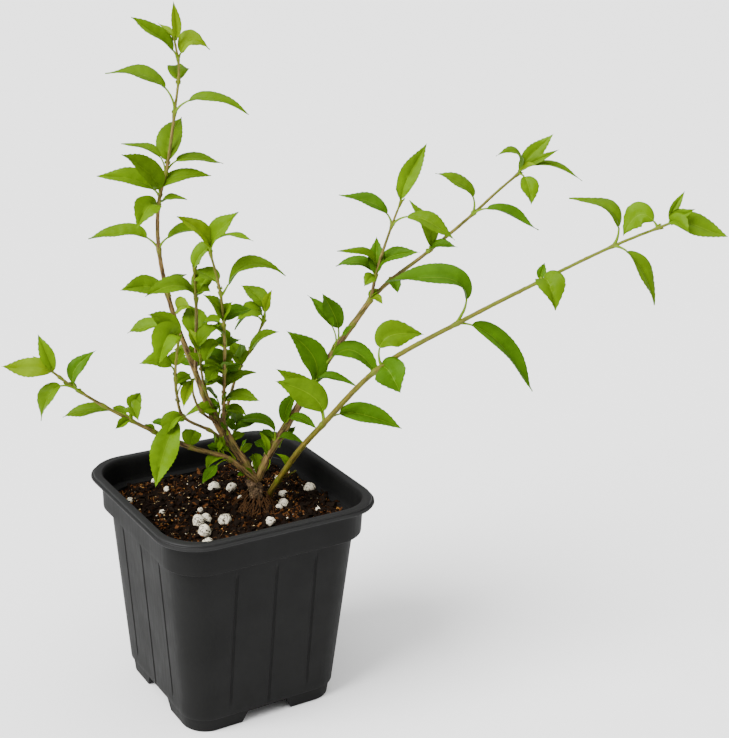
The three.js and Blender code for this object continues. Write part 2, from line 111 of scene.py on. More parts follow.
def pot_ring(half, z):
    """The points round the pot at one height: a rounded square, pressed in at each flute."""
    corner = half * (corner_share_foot + (corner_share_rim - corner_share_foot) * z / pot_height)
    straight = half - corner
    # Toward the narrow floor the points draw together, so that none passes the corner.
    narrowing = min(1, straight / narrowest_full_side)
    points = []
    for station in (-straight, -0.86 * straight, *side_stations, 0.86 * straight, straight):
        pressed = 0.0
        for offset in flute_offsets:
            foot = flute_foot if offset else middle_flute_foot
            reach = abs(station - offset) / flute_half_width
            if reach < 1 and foot < z < flute_top:
                ends = min(1, (z - foot) / flute_run_out, (flute_top - z) / flute_run_out)
                pressed = flute_depth * ends * min(1, (1 - reach) * 2)
        points.append((max(-straight, min(straight, station * narrowing)), pressed - half))
    for step in range(1, corner_steps):
        angle = math.pi / 2 * (step / corner_steps - 1)
        points.append((straight + corner * math.cos(angle), corner * math.sin(angle) - straight))
    turns = [Matrix.Rotation(quarter * math.pi / 2, 3, "Z") for quarter in range(4)]
    return [turn @ Vector((x, y, z)) for turn in turns for x, y in points]


def join_rings(surface, rings, lid=True):
    """Joins rings of corners into a closed tube, from the first ring to the last."""
    for lower, upper in zip(rings, rings[1:]):
        for i in range(len(lower)):
            j = (i + 1) % len(lower)
            surface.faces.new((lower[i], lower[j], upper[j], upper[i]))
    surface.faces.new(reversed(rings[0]))
    if lid:
        surface.faces.new(rings[-1])


def as_mesh(name, surface):
    """Turns a surface that is done into a mesh."""
    mesh = bpy.data.meshes.new(name)
    surface.to_mesh(mesh)
    surface.free()
    return mesh


def worked_mesh(helper):
    """The mesh that a helper object has once its modifiers have run. The helper is removed."""
    mesh = bpy.data.meshes.new_from_object(helper.evaluated_get(bpy.context.evaluated_depsgraph_get()))
    bpy.data.objects.remove(helper)
    return mesh


def finish_mesh(name, mesh, materials, replaced, smooth_angle=40):
    """Makes an object of a mesh, shades it, and hands it to the frame in place of its CAD nodes."""
    made = add_object(name, mesh)
    for material in materials:
        mesh.materials.append(material)
    mesh.shade_smooth()
    mesh.set_sharp_from_angle(angle=math.radians(smooth_angle))
    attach(made, "root")
    if replaced:
        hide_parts(*replaced)
    return made


def linear(colour):
    """A hex colour as it is seen, turned to the linear values that a shader takes."""
    parts = [int(colour[i:i + 2], 16) / 255 for i in (1, 3, 5)]
    return tuple(c / 12.92 if c <= 0.04045 else ((c + 0.055) / 1.055) ** 2.4 for c in parts) + (1.0,)


def feed(tree, node, inputs):
    """Gives each input a value, a hex colour, or the socket or first output that feeds it."""
    for name, value in inputs.items():
        if isinstance(value, bpy.types.Node):
            value = value.outputs[0]
        if isinstance(value, bpy.types.NodeSocket):
            tree.links.new(value, node.inputs[name])
        else:
            is_colour = isinstance(value, str) and value.startswith("#")
            node.inputs[name].default_value = linear(value) if is_colour else value


def add(tree, kind, inputs={}, **settings):
    """Adds one node, of a kind named without its prefix, with its settings and inputs."""
    prefixes = ("ShaderNode", "GeometryNode", "FunctionNode", "Node")
    made = tree.nodes.new(next(start + kind for start in prefixes if hasattr(bpy.types, start + kind)))
    for name, value in settings.items():
        setattr(made, name, value)
    feed(tree, made, inputs)
    return made


def blend(tree, factor, first, second):
    """One colour that turns to another as the factor rises from 0 to 1."""
    made = add(tree, "Mix", {"Factor": factor, "A": first, "B": second}, data_type="RGBA")
    return made.outputs["Result"]


def new_finish(name):
    """A new material, its tree, and the place on the object, which its patterns follow."""
    material = bpy.data.materials.new(name)
    material.use_nodes = True
    return material, material.node_tree, add(material.node_tree, "TexCoord").outputs["Object"]


def end_finish(tree, colour, relief, roughness, gloss):
    """Gives a material's shader its colour, relief, roughness and gloss."""
    feed(tree, tree.nodes["Principled BSDF"], {"Base Color": colour, "Normal": relief,
                                               "Roughness": roughness, "Specular IOR Level": gloss})


# Moulded polypropylene: near black, with a satin skin whose gloss is broken by faint streaks
# that run up the sides, where the mould was drawn off. The handled rim has rubbed glossier.
moulded_polypropylene, tree, place = new_finish("moulded_black_polypropylene")
drawn = add(tree, "Mapping", {"Vector": place, "Scale": (1100, 1100, 28)})
streaks = add(tree, "TexNoise", {"Vector": drawn, "Scale": 1.0, "Detail": 3.0, "Roughness": 0.6})
cloudy = add(tree, "TexNoise", {"Vector": place, "Scale": 60.0, "Detail": 4.0})
uneven = add(tree, "Math", {0: streaks, 1: cloudy}, operation="ADD")
satin = add(tree, "MapRange", {"Value": uneven, "From Min": 0.7, "From Max": 1.3,
                               "To Min": 0.54, "To Max": 0.68})
height = add(tree, "SeparateXYZ", {0: place}).outputs["Z"]
rubbed = add(tree, "MapRange", {"Value": height, "From Min": 0.1005, "From Max": 0.1035,
                                "To Min": 0.1, "To Max": 0.3})
grain = add(tree, "Bump", {"Height": uneven, "Strength": 0.12, "Distance": 0.0002})
end_finish(tree, blend(tree, streaks, "#0c0c0c", "#141413"), grain, satin, rubbed)

pot_surface = bmesh.new()
join_rings(pot_surface, [[pot_surface.verts.new(point * mm + pot_middle) for point in pot_ring(half, z)]
                         for half, z in wall_section])

# The notches taper from 27 mm at the ground to 20 mm, and the drain holes are 8 mm across.
notch_outline = [(-13.6, -1), (13.6, -1), (10.2, 5.9), (-10.2, 5.9)]
notch_reach = 60
drain_place = 22
drain_radius = 4
drain_depth = 5
cutters = bmesh.new()
for quarter in range(2):
    turn = Matrix.Rotation(quarter * math.pi / 2, 3, "Z")
    join_rings(cutters, [[cutters.verts.new(turn @ Vector((x, far + quarter * 0.5, z)) * mm + pot_middle)
                          for x, z in notch_outline] for far in (-notch_reach, notch_reach)])
for x in (-drain_place, drain_place):
    for y in (-drain_place, drain_place):
        bmesh.ops.create_cone(cutters, cap_ends=True, segments=20, radius1=drain_radius * mm,
                              radius2=drain_radius * mm, depth=drain_depth * mm,
                              matrix=Matrix.Translation(Vector((x, y, 6.6)) * mm + pot_middle))
bmesh.ops.recalc_face_normals(cutters, faces=cutters.faces)
cutter = add_object("notches_and_drains", as_mesh("notches_and_drains", cutters))
uncut_pot = add_object("uncut_pot", as_mesh("pot_shell", pot_surface))
cut = uncut_pot.modifiers.new("notches", "BOOLEAN")
cut.operation = "DIFFERENCE"
cut.solver = "EXACT"
cut.use_self = True
cut.object = cutter
finish_mesh("moulded_pot", worked_mesh(uncut_pot), [moulded_polypropylene], ["pot"],
            smooth_angle=30)
bpy.data.objects.remove(cutter)


# ---- Potting mix ----------------------------------------------------------------------------
# Damp peat with composted bark, filled to a finger's width under the rim. Its top is crumbly
# and heaped a little round the stump. It is one closed body down to the pot's floor.

soil_level = 90.8
soil_half = 47.9
soil_corner = soil_half * corner_share_rim
soil_steps = 154
heap_height = 6.4
heap_right = 11
heap_front = 5

# Under its top the mix follows the pot inward: each ring's height, and its share of the top's width.
lower_rings = ((8.0, 0.76), (87.0, 0.92))


def soil_height(x, y):
    """The height of the mix's surface, in millimetres: hollows, clods and crumbs on each other."""
    spot = Vector((x, y, 0))
    hollows = noise.noise(spot / 17) * 1.5
    clods = noise.noise(spot / 5.2 + Vector((7, 1, 3))) * 2.2
    crumbs = (1 - abs(noise.noise(spot / 2.4 + Vector((2, 9, 4))))) * 1.9
    grit = noise.noise(spot / 1.1) * 0.7
    heap = heap_height * math.exp(-((x - heap_right) ** 2 + (y + heap_front) ** 2) / 60)
    return soil_level + hollows + clods + crumbs + grit + heap - 1.6


def soil_plan(u, v):
    """A place on the mix's top, from the middle: nested rounded squares that fill the pot."""
    reach = max(abs(u), abs(v), 1e-6)
    edge = Vector((u / reach * soil_half, v / reach * soil_half))
    inner = soil_half - soil_corner
    over = Vector([max(0, abs(part) - soil_half + soil_corner) for part in edge])
    if over.length > soil_corner:
        over *= soil_corner / over.length
    rounded = [math.copysign(inner + past, part) if past > 0 else part for past, part in zip(over, edge)]
    return [reach * part for part in rounded]


soil_surface = bmesh.new()
reach_layer = soil_surface.verts.layers.float.new("reach")
grid = []
for i in range(soil_steps + 1):
    grid.append([])
    for j in range(soil_steps + 1):
        u, v = 2 * i / soil_steps - 1, 2 * j / soil_steps - 1
        x, y = soil_plan(u, v)
        vertex = soil_surface.verts.new(Vector((x, y, soil_height(x, y))) * mm + pot_middle)
        vertex[reach_layer] = max(abs(u), abs(v))
        grid[-1].append(vertex)
for i in range(soil_steps):
    for j in range(soil_steps):
        soil_surface.faces.new((grid[i][j], grid[i + 1][j], grid[i + 1][j + 1], grid[i][j + 1]))
outline = [column[0] for column in grid[:-1]] + grid[-1][:-1]
outline += [column[-1] for column in grid[:0:-1]] + grid[0][:0:-1]
soil_rings = []
for level, share in lower_rings:
    soil_rings.append([])
    for vertex in outline:
        out = (vertex.co - pot_middle) / mm * share
        soil_rings[-1].append(soil_surface.verts.new(Vector((out.x, out.y, level)) * mm + pot_middle))
        soil_rings[-1][-1][reach_layer] = 1.0
join_rings(soil_surface, [*soil_rings, outline], lid=False)

# Damp peat: dark brown on its crumbs, with painted shade that makes its hollows almost black, and no gloss of
# its own.
damp_peat, tree, place = new_finish("damp_peat_and_composted_bark")
crumbs = add(tree, "TexNoise", {"Vector": place, "Scale": 420.0, "Detail": 8.0, "Roughness": 0.7})
fibres = add(tree, "TexVoronoi", {"Vector": place, "Scale": 700.0})
# The ramp runs from the painted shade of the hollows, near black, up to the crumbs' dark brown.
peat_colour_and_painted_hollow_shade = add(tree, "ValToRGB", {"Fac": crumbs})
for stop, position, colour in zip(peat_colour_and_painted_hollow_shade.color_ramp.elements, (0.42, 0.72), ("#020100", "#2a1708")):
    stop.position = position
    stop.color = linear(colour)
crumbled = add(tree, "Bump", {"Height": crumbs, "Strength": 0.9, "Distance": 0.0008})
roughened = add(tree, "Bump", {"Height": fibres, "Normal": crumbled, "Strength": 0.5, "Distance": 0.0004})
end_finish(tree, peat_colour_and_painted_hollow_shade, roughened, 0.95, 0.05)
potting_mix = finish_mesh("potting_mix", as_mesh("potting_mix", soil_surface), [damp_peat],
                          ["soil"], smooth_angle=180)


# ---- Bark chips and crumbs in the mix ---------------------------------------------------------
# Composted pine bark, milled to flat splinters of up to 6 mm, lies scattered on the peat. Most
# of it is dark, some is red-brown and a little has dried pale. Brown and golden fines lie in
# clumps, and crumbs of peat lie over all of it.

splinter = ("MeshCube", {"Size": (0.004, 0.0017, 0.0006), "Vertices X": 4, "Vertices Y": 3, "Vertices Z": 2})
crumb = ("MeshIcoSphere", {"Radius": 0.0007, "Subdivisions": 1})
whole_turn = 6.28

# What is set for each kind that is strewn: its grains on a square metre, their smallest and
# largest size, how far they clump, and its seed.
strewing_inputs = {"Density": "Float", "Smallest": "Float", "Largest": "Float", "Clumping": "Float",
                   "Seed": "Int"}


def grain_tree(name, labels):
    """A node tree with named inputs, which turns one geometry into grains, and its inputs' sockets."""
    tree = bpy.data.node_groups.new(name, "GeometryNodeTree")
    for label, kind in {"Geometry": "Geometry", **labels, "Finish": "Material"}.items():
        tree.interface.new_socket(label, in_out="INPUT", socket_type="NodeSocket" + kind)
    tree.interface.new_socket("Geometry", in_out="OUTPUT", socket_type="NodeSocketGeometry")
    return tree, add(tree, "GroupInput").outputs


def lay_grains(tree, given, points, grain, turn, size, shift):
    """Lays a grain at each point, shifts the grains' own points, and gives them their finish."""
    laid = add(tree, "InstanceOnPoints", {"Points": points, "Instance": grain, "Rotation": turn,
                                          "Scale": size})
    real = add(tree, "RealizeInstances", {0: laid})
    worn = add(tree, "SetPosition", {"Geometry": real, "Offset": shift})
    add(tree, "GroupOutput", {0: add(tree, "SetMaterial", {"Geometry": worn, "Material": given["Finish"]})})


def strewing_tree(name, grain):
    """A node tree that strews ragged grains over the top of the mix, evenly or in clumps."""
    tree, given = grain_tree(name, strewing_inputs)
    # Nothing lies hard against the pot's wall.
    reach = add(tree, "InputNamedAttribute", {"Name": "reach"}, data_type="FLOAT")
    on_top = add(tree, "Compare", {0: reach, 1: 0.955}, operation="LESS_THAN")
    where = add(tree, "InputPosition")
    patches = add(tree, "TexNoise", {"Vector": where, "Scale": 70.0, "Detail": 2.0})
    in_clump = add(tree, "Compare", {0: patches, 1: given["Clumping"]}, operation="GREATER_THAN")
    chosen = add(tree, "BooleanMath", {0: on_top, 1: in_clump}, operation="AND")
    strewn = add(tree, "DistributePointsOnFaces", {"Mesh": given["Geometry"], "Selection": chosen,
                                                   "Density": given["Density"], "Seed": given["Seed"]})
    turn = add(tree, "RandomValue", {0: (-0.8, -0.8, 0.0), 1: (0.8, 0.8, whole_turn), "Seed": given["Seed"]},
               data_type="FLOAT_VECTOR")
    size = add(tree, "RandomValue", {2: given["Smallest"], 3: given["Largest"], "Seed": given["Seed"]},
               data_type="FLOAT")
    ragged = add(tree, "TexNoise", {"Vector": where, "Scale": 900.0, "Detail": 1.0}).outputs["Color"]
    middle = add(tree, "VectorMath", {0: ragged, 1: (0.5, 0.5, 0.5)}, operation="SUBTRACT")
    shift = add(tree, "VectorMath", {0: middle, "Scale": 0.0016}, operation="SCALE")
    lay_grains(tree, given, strewn, add(tree, *grain), turn.outputs["Value"], size.outputs[1], shift)
    return tree


def grown_piece(name, tree, over, inputs, material, smooth_angle=40):
    """Runs a node tree over a mesh, and makes a piece of the potting mix of what grows there."""
    carrier = add_object(name + "_carrier", over)
    growing = carrier.modifiers.new("growing", "NODES")
    growing.node_group = tree
    chosen = dict(inputs, Finish=material)
    for item in tree.interface.items_tree:
        if item.in_out == "INPUT" and item.name in chosen:
            growing[item.identifier] = chosen[item.name]
    mesh = worked_mesh(carrier)
    mesh.materials.clear()
    finish_mesh(name, mesh, [material], [], smooth_angle)


def mottled_finish(name, colour, roughness, variation, scale=900.0, fineness=0.65, gloss=0.08, cells=None,
                   relief_share=0.5, relief_depth=0.0003):
    """A dull natural material: one colour, mottled lighter and darker, in relief by patch or by cell."""
    material, tree, place = new_finish(name)
    patches = add(tree, "TexNoise", {"Vector": place, "Scale": scale, "Detail": 5.0, "Roughness": fineness})
    lightness = add(tree, "MapRange", {"Value": patches, "To Min": 1 - variation, "To Max": 1 + variation})
    tinted = add(tree, "HueSaturation", {"Color": colour, "Value": lightness})
    bumps = add(tree, "TexVoronoi", {"Vector": place, "Scale": cells}) if cells else patches
    relief = add(tree, "Bump", {"Height": bumps, "Strength": relief_share, "Distance": relief_depth})
    end_finish(tree, tinted, relief, roughness, gloss)
    return material


splinter_tree = strewing_tree("strewn_bark", splinter)
crumb_tree = strewing_tree("strewn_crumbs", crumb)
# Each kind's inputs, and its material: how the bark broke and dried, its colour, its roughness
# and how far the colour varies. Rough, matt grains keep the mix from shining.
for name, tree, inputs, finish in (
        ("dark_bark_chips", splinter_tree, (90000.0, 0.4, 1.35, 0.0, 3),
         ("composted_bark_dark", "#120a04", 0.85, 0.5)),
        ("red_bark_chips", splinter_tree, (42000.0, 0.15, 0.85, 0.0, 11),
         ("composted_bark_red_brown", "#4f2f14", 0.8, 0.4)),
        ("pale_bark_chips", splinter_tree, (70000.0, 0.05, 0.3, 0.0, 23),
         ("composted_bark_dried_pale", "#b29c70", 0.85, 0.35)),
        ("brown_bark_fines", splinter_tree, (420000.0, 0.12, 0.55, 0.53, 53),
         ("composted_bark_fibrous_brown", "#4a2a10", 0.8, 0.5)),
        ("golden_bark_fines", splinter_tree, (260000.0, 0.06, 0.35, 0.55, 59),
         ("composted_bark_inner_golden", "#8e6630", 0.8, 0.5)),
        ("peat_crumbs", crumb_tree, (190000.0, 0.5, 1.7, 0.0, 31), ("peat_crumb", "#100804", 0.95, 0.5))):
    grown_piece(name, tree, potting_mix.data, dict(zip(strewing_inputs, inputs)), mottled_finish(*finish))


# ---- Perlite ----------------------------------------------------------------------------------
# Puffed volcanic glass, mixed in to keep the peat open: off-white grains of 2.5 to 6 mm with
# pitted, rounded faces, half sunk in the mix.

# Each grain's place from the middle of the pot, square to its sides, and its diameter.
perlite_grains = [(3, 24, 5.8), (8, 15.5, 4.5), (-20, -7, 6.0), (-16, -6, 5.0), (-8.5, -10.5, 6.2),
                  (-23, -19, 5.8), (-25, -27, 4.6), (24.5, -6.5, 5.3), (30, 4, 3.6), (43, 1, 5.8),
                  (8, -24, 4.2), (-31, 9, 2.6), (19, -12, 2.8), (-19, 44, 2.8), (-18, 33, 2.4), (7, 4, 2.4),
                  (-13.5, 5, 2.6), (37, -18, 2.6), (26, 30, 5.2), (33, 38, 3.8), (36, 44, 3.6),
                  (-38, 30, 3.4), (40, -36, 4.0), (36, 20, 3.0)]
sunk_share = 0.22
pit_depth = 0.0005

puffing_tree, given = grain_tree("puffed_grains", {"Pit Depth": "Float"})
ball = add(puffing_tree, "MeshIcoSphere", {"Radius": 0.00047, "Subdivisions": 4})
width = add(puffing_tree, "InputNamedAttribute", {"Name": "width"}, data_type="FLOAT")
turn = add(puffing_tree, "RandomValue", {1: (whole_turn, whole_turn, whole_turn), "Seed": 5},
           data_type="FLOAT_VECTOR")
where = add(puffing_tree, "InputPosition")
swell = add(puffing_tree, "TexNoise", {"Vector": where, "Scale": 330.0, "Detail": 1.0})
pits = add(puffing_tree, "TexVoronoi", {"Vector": where, "Scale": 750.0, "Smoothness": 0.2},
           feature="SMOOTH_F1")
swollen = add(puffing_tree, "Math", {0: swell, 1: 2.8, 2: -1.5}, operation="MULTIPLY_ADD")
pitted = add(puffing_tree, "Math", {0: swollen, 1: pits}, operation="ADD")
depth = add(puffing_tree, "Math", {0: pitted, 1: given["Pit Depth"]}, operation="MULTIPLY")
outward = add(puffing_tree, "InputNormal")
shift = add(puffing_tree, "VectorMath", {0: outward, "Scale": depth}, operation="SCALE")
lay_grains(puffing_tree, given, given["Geometry"], ball, turn.outputs["Value"], width, shift)

# Puffed perlite: chalky off-white, with painted shade as dark spots in its small open pores and dark lines
# along the cracks in the glass.
puffed_perlite = mottled_finish("puffed_perlite", "#d2cab4", 0.9, 0.2)
tree = puffed_perlite.node_tree
shader = tree.nodes["Principled BSDF"]
place = tree.nodes["Texture Coordinate"].outputs["Object"]
# The near black brown laid in the pores and along the cracks is painted shade.
pores = add(tree, "TexVoronoi", {"Vector": place, "Scale": 620.0})
no_painted_pore_shade = add(tree, "MapRange", {"Value": pores, "From Min": 0.16, "From Max": 0.3})
swirls = add(tree, "TexNoise", {"Vector": place, "Scale": 330.0, "Detail": 2.0})
ridge = add(tree, "Math", {0: swirls, 1: 0.5}, operation="SUBTRACT")
apart = add(tree, "Math", {0: ridge}, operation="ABSOLUTE")
no_painted_crack_shade = add(tree, "MapRange", {"Value": apart, "From Min": 0.005, "From Max": 0.03})
whole = add(tree, "Math", {0: no_painted_pore_shade, 1: no_painted_crack_shade}, operation="MULTIPLY")
chalk = shader.inputs["Base Color"].links[0].from_socket
feed(tree, shader, {"Base Color": blend(tree, whole, "#2b241a", chalk)})
grown_piece("perlite_dust", crumb_tree, potting_mix.data,
            {"Density": 24000.0, "Smallest": 0.2, "Largest": 0.6, "Seed": 47}, puffed_perlite)

grain_places = bpy.data.meshes.new("perlite_places")
grain_places.from_pydata([Vector((x, y, soil_height(x, y) + sunk_share * wide)) * mm + pot_middle
                          for x, y, wide in perlite_grains], [], [])
widths = [wide for x, y, wide in perlite_grains]
grain_places.attributes.new("width", "FLOAT", "POINT").data.foreach_set("value", widths)
grown_piece("perlite", puffing_tree, grain_places, {"Pit Depth": pit_depth}, puffed_perlite, smooth_angle=180)


# ---- Stump and stems --------------------------------------------------------------------------
# The woody stump was cut back once. Two boughs and the shoots on them have thin tan bark with
# corky pores, and swell at each pair of leaves. The newest long stem is still olive green.
# The plant's own directions are right, away and up, from the middle of the pot's foot.

plant_turn = Matrix.Rotation(math.radians(-32.7), 3, "Z")


def planted(point):
    """A place on the plant, in millimetres right, away and up, as a place in the frame."""
    return plant_turn @ Vector(point) * mm + pot_middle


# Each stem's radius at foot and tip, its nodes from 0 at the foot to 1 at the tip, and its path.
stems = {
    "left_bough": (2.3, 1.8, (0.35, 0.8), [(11, 2, 104), (5, 3, 115), (0, 4, 122), (-3, 5, 128)]),
    "low_left_stem": (1.4, 0.5, (0.15, 0.33, 0.5, 0.61, 0.74, 0.85, 0.95), [
        (11, 0, 106), (-1, -4, 118), (-19, -12, 127), (-43, -22, 143), (-63, -29, 158), (-74, -34, 169)]),
    "right_bough": (2.0, 1.3, (0.06, 0.18, 0.28, 0.45, 0.59, 0.7, 0.85, 0.99), [
        (12, 3, 105), (18, 6, 119), (25, 11, 130), (41, 21, 156), (62, 30, 187)]),
    "long_right_stem": (1.5, 0.55, (0.07, 0.24, 0.4, 0.59, 0.76, 0.9, 0.98), [
        (14, 7, 90), (21.4, 4, 104), (31.6, -2, 122.8), (42.6, -8, 138.8), (66.5, -18, 170),
        (101.3, -30, 197.3), (131.5, -38, 218), (159.5, -44, 235.8), (180, -48, 246.8)]),
    "tall_stem": (1.5, 0.45, (0.12, 0.22, 0.31, 0.38, 0.49, 0.6, 0.68, 0.82, 0.9, 0.95), [
        (-4, 4, 126), (-10, 5, 137), (-18, 7, 158), (-28, 10, 184), (-34, 12, 212), (-34, 13, 232),
        (-30, 14, 250), (-27, 16, 272), (-25, 17, 292), (-27, 17, 305)]),
    "middle_stem": (0.88, 0.52, (0.22, 0.37, 0.61, 0.78, 0.98), [
        (-4, 4, 127), (-3, -4, 150), (-2, -12, 178), (-3, -18, 201), (-7, -24, 222)]),
    "inner_left_stem": (0.85, 0.6, (0.31, 0.71, 0.98), [
        (-17, 6, 157), (-16, 0, 172), (-15, -6, 188), (-15, -12, 211)]),
    "inner_right_stem": (0.8, 0.5, (0.53, 0.71, 0.98), [
        (-5, 5, 130), (2, 16, 155), (7, 22, 163), (12, 30, 174)]),
    "outer_left_stem": (0.85, 0.5, (0.2, 0.42, 0.72, 0.98), [
        (-2, 3, 122), (-8, -4, 131), (-20, -14, 142), (-22, -20, 154), (-22, -24, 168), (-20, -26, 184)]),
    "upper_fork": (0.8, 0.45, (0.21, 0.73, 0.98), [
        (62, 30, 187), (64, 29, 200), (70, 26, 223), (74, 23, 236)]),
    "outer_fork": (1.0, 0.55, (0.13, 0.39, 0.68, 0.98), [
        (62, 30, 187), (70, 34, 194.5), (86, 42, 205.8), (108, 50, 224), (119, 54, 234.2), (130, 58, 243.5)]),
    "heart_stem": (0.7, 0.5, (0.1, 0.52, 0.98), [
        (-5, 5, 131), (-8, 3, 138), (-12, -2, 152), (-13, -6, 162), (-13, -10, 171)]),
    "stub_twig": (0.5, 0.35, (), [(21.5, 3.5, 104.5), (26, 4.5, 107), (30, 5, 109.5)]),
    "heart_side_stem": (0.65, 0.45, (0.3, 0.98), [
        (-8, 2, 134), (-13, -3, 140), (-16, -10, 151), (-16, -14, 160)]),
}
curve_steps = 40


def smooth_path(points):
    """A smooth curve through the points: many places along it, and how far along each one is."""
    given = [np.array(point, float) for point in points]
    given = [2 * given[0] - given[1]] + given + [2 * given[-1] - given[-2]]
    dense = []
    for p0, p1, p2, p3 in zip(given, given[1:], given[2:], given[3:]):
        d0, d1, d2 = [max(np.linalg.norm(b - a) ** 0.5, 1e-4) for a, b in ((p0, p1), (p1, p2), (p2, p3))]
        leave = ((p1 - p0) / d0 - (p2 - p0) / (d0 + d1) + (p2 - p1) / d1) * d1
        arrive = ((p2 - p1) / d1 - (p3 - p1) / (d1 + d2) + (p3 - p2) / d2) * d1
        for t in np.linspace(0, 1, curve_steps, endpoint=False):
            dense.append(p1 + leave * t + (3 * (p2 - p1) - 2 * leave - arrive) * t ** 2
                         + (2 * (p1 - p2) + leave + arrive) * t ** 3)
    dense = np.array([*dense, given[-2]])
    return dense, np.concatenate([[0], np.cumsum(np.linalg.norm(np.diff(dense, axis=0), axis=1))])


def place_on(path, share):
    """The point at a share of the path's length, and the direction of growth there."""
    dense, run = path
    point, ahead, behind = [np.array([np.interp(at * run[-1], run, part) for part in dense.T])
                            for at in (share, share + 0.01, share - 0.01)]
    return point, unit(ahead - behind)


def unit(vector):
    """The same direction, one long."""
    return vector / np.linalg.norm(vector)


stem_paths = {name: smooth_path(path) for name, (_, _, _, path) in stems.items()}

# Short spurs branch off by a seeded rule. Given are the stem each leaves, where along it, its
# heading, and how many pairs of leaves it has.
spurs = []
for seed, (parent, share, way, pairs) in enumerate((
        ("middle_stem", 0.3, (-0.2, 0.9, 0.6), 3), ("tall_stem", 0.16, (-0.3, 0.9, 0.5), 3),
        ("left_bough", 0.8, (0.1, 0.9, 0.6), 2), ("low_left_stem", 0.45, (0.1, 0.9, 0.3), 1),
        ("right_bough", 0.12, (0.1, 0.9, 0.2), 2), ("middle_stem", 0.45, (0.1, 0.9, 0.4), 2))):
    rng = random.Random(300 + seed)
    spur_path = [place_on(stem_paths[parent], share)[0]]
    heading = np.array(way)
    for pair in range(pairs):
        heading = heading + [rng.uniform(-0.25, 0.25), rng.uniform(-0.15, 0.15), rng.uniform(0, 0.25)]
        spur_path.append(spur_path[-1] + unit(heading) * rng.uniform(3.5, 5.0))
    spurs.append("spur_%d" % (seed + 1))
    stems[spurs[-1]] = (0.5, 0.35, tuple((pair + 1) / pairs for pair in range(pairs)), spur_path)
    stem_paths[spurs[-1]] = smooth_path(spur_path)


def bell(distance, width):
    """A rounded swelling: 1 in its middle, and next to nothing beyond twice its width."""
    return math.exp(-(distance / width) ** 2)


def grow_stem(surface, path, foot, tip, nodes, seed, green_from, green_to):
    """Adds one stem: ridged bark, raised pores, a collar at each node, and green towards its tip."""
    rng = random.Random(seed)
    sides = 18
    ring_gap = 0.55
    pores_on_mm = 0.4
    pore_height = 0.13
    ripeness_layer = surface.verts.layers.float["young"]
    grain_layer = surface.verts.layers.float_vector["grain"]
    length = path[1][-1]
    pores = [(rng.uniform(0, length), rng.uniform(0, 2 * math.pi), rng.uniform(0.35, 0.7))
             for _ in range(int(length * pores_on_mm))]
    count = int(length / ring_gap) + 2
    rings = []
    side = None
    for i in range(count):
        at = i / (count - 1)
        point, growth = place_on(path, at)
        side = unit(np.cross(growth, (0, 1, 0)) if side is None else side - growth * side.dot(growth))
        through = np.cross(growth, side)
        here = at * length
        radius = foot + (tip - foot) * at
        # A broad swelling with a sharp ring just past it, less on a thick stem.
        collars = sum(0.34 * bell(here - node * length, 1.5) + 0.22 * bell(here - node * length - 0.9, 0.35)
                      for node in nodes)
        swollen = min(1, 0.9 / radius) * collars
        ripe = min(1, max(0, (at - green_from) / (green_to - green_from)) + swollen * 1.8)
        close_pores = [pore for pore in pores if abs(pore[0] - here) < 1.3]
        rings.append([])
        for j in range(sides):
            angle = 2 * math.pi * j / sides
            across, over = math.cos(angle), math.sin(angle)
            grown = radius * (1 + 0.05 * math.cos(4 * angle + here * 0.02))
            grown += swollen * (0.75 + 0.25 * math.cos(2 * angle))
            grown += 0.07 * noise.noise(Vector((across * 1.2, over * 1.2, here * 0.35 + seed)))
            grown += 0.05 * noise.noise(Vector((across * 4, over * 4, here * 1.1 + seed)))
            for along, turn, wide in close_pores:
                apart = (angle - turn + math.pi) % (2 * math.pi) - math.pi
                grown += pore_height * bell(along - here, wide) * bell(apart * radius, wide * 0.55)
            vertex = surface.verts.new(planted(point + (side * across + through * over) * grown))
            vertex[ripeness_layer] = ripe
            vertex[grain_layer] = (radius * across, radius * over, here * 0.14 + seed * 9)
            rings[-1].append(vertex)
    join_rings(surface, rings)


def bark_surface():
    """An empty surface whose points know how young their bark is and where they lie in its grain."""
    surface = bmesh.new()
    surface.verts.layers.float.new("young")
    surface.verts.layers.float_vector.new("grain")
    return surface


def bark_finish(name, furrow_colour_and_shade, lit, green, pore, roughness):
    """Thin bark: streaked along the stem, darker in the furrows with painted shade and lighter on the ridges
    with painted light, with pale corky pores, and green where it is young.
    """
    material, tree, place = new_finish(name)
    grain = add(tree, "Attribute", attribute_name="grain").outputs["Vector"]
    streaks = add(tree, "TexNoise", {"Vector": grain, "Scale": 1.3, "Detail": 5.0, "Roughness": 0.65})
    # Painted shade and light: where the streaks sink into furrows the bark takes its darker colour, and where
    # they rise into ridges the lit colour.
    painted_ridge_light = add(tree, "MapRange", {"Value": streaks, "From Min": 0.38, "From Max": 0.62})
    ripeness = add(tree, "Attribute", attribute_name="young").outputs["Fac"]
    blotches = add(tree, "TexNoise", {"Vector": place, "Scale": 230.0, "Detail": 3.0})
    uneven = add(tree, "Math", {0: blotches, 1: 1.1, 2: -0.55}, operation="MULTIPLY_ADD")
    young = add(tree, "Math", {0: ripeness, 1: uneven}, operation="ADD", use_clamp=True)
    grown = blend(tree, young, blend(tree, painted_ridge_light, furrow_colour_and_shade, lit), green)
    specks = add(tree, "TexVoronoi", {"Vector": place, "Scale": 480.0})
    is_pore = add(tree, "Math", {0: specks, 1: 0.13}, operation="LESS_THAN")
    softer = add(tree, "Math", {0: is_pore, 1: 0.4}, operation="MULTIPLY")
    relief = add(tree, "Bump", {"Height": streaks, "Strength": 0.5, "Distance": 0.0002})
    end_finish(tree, blend(tree, softer, grown, pore), relief, roughness, 0.2)
    return material
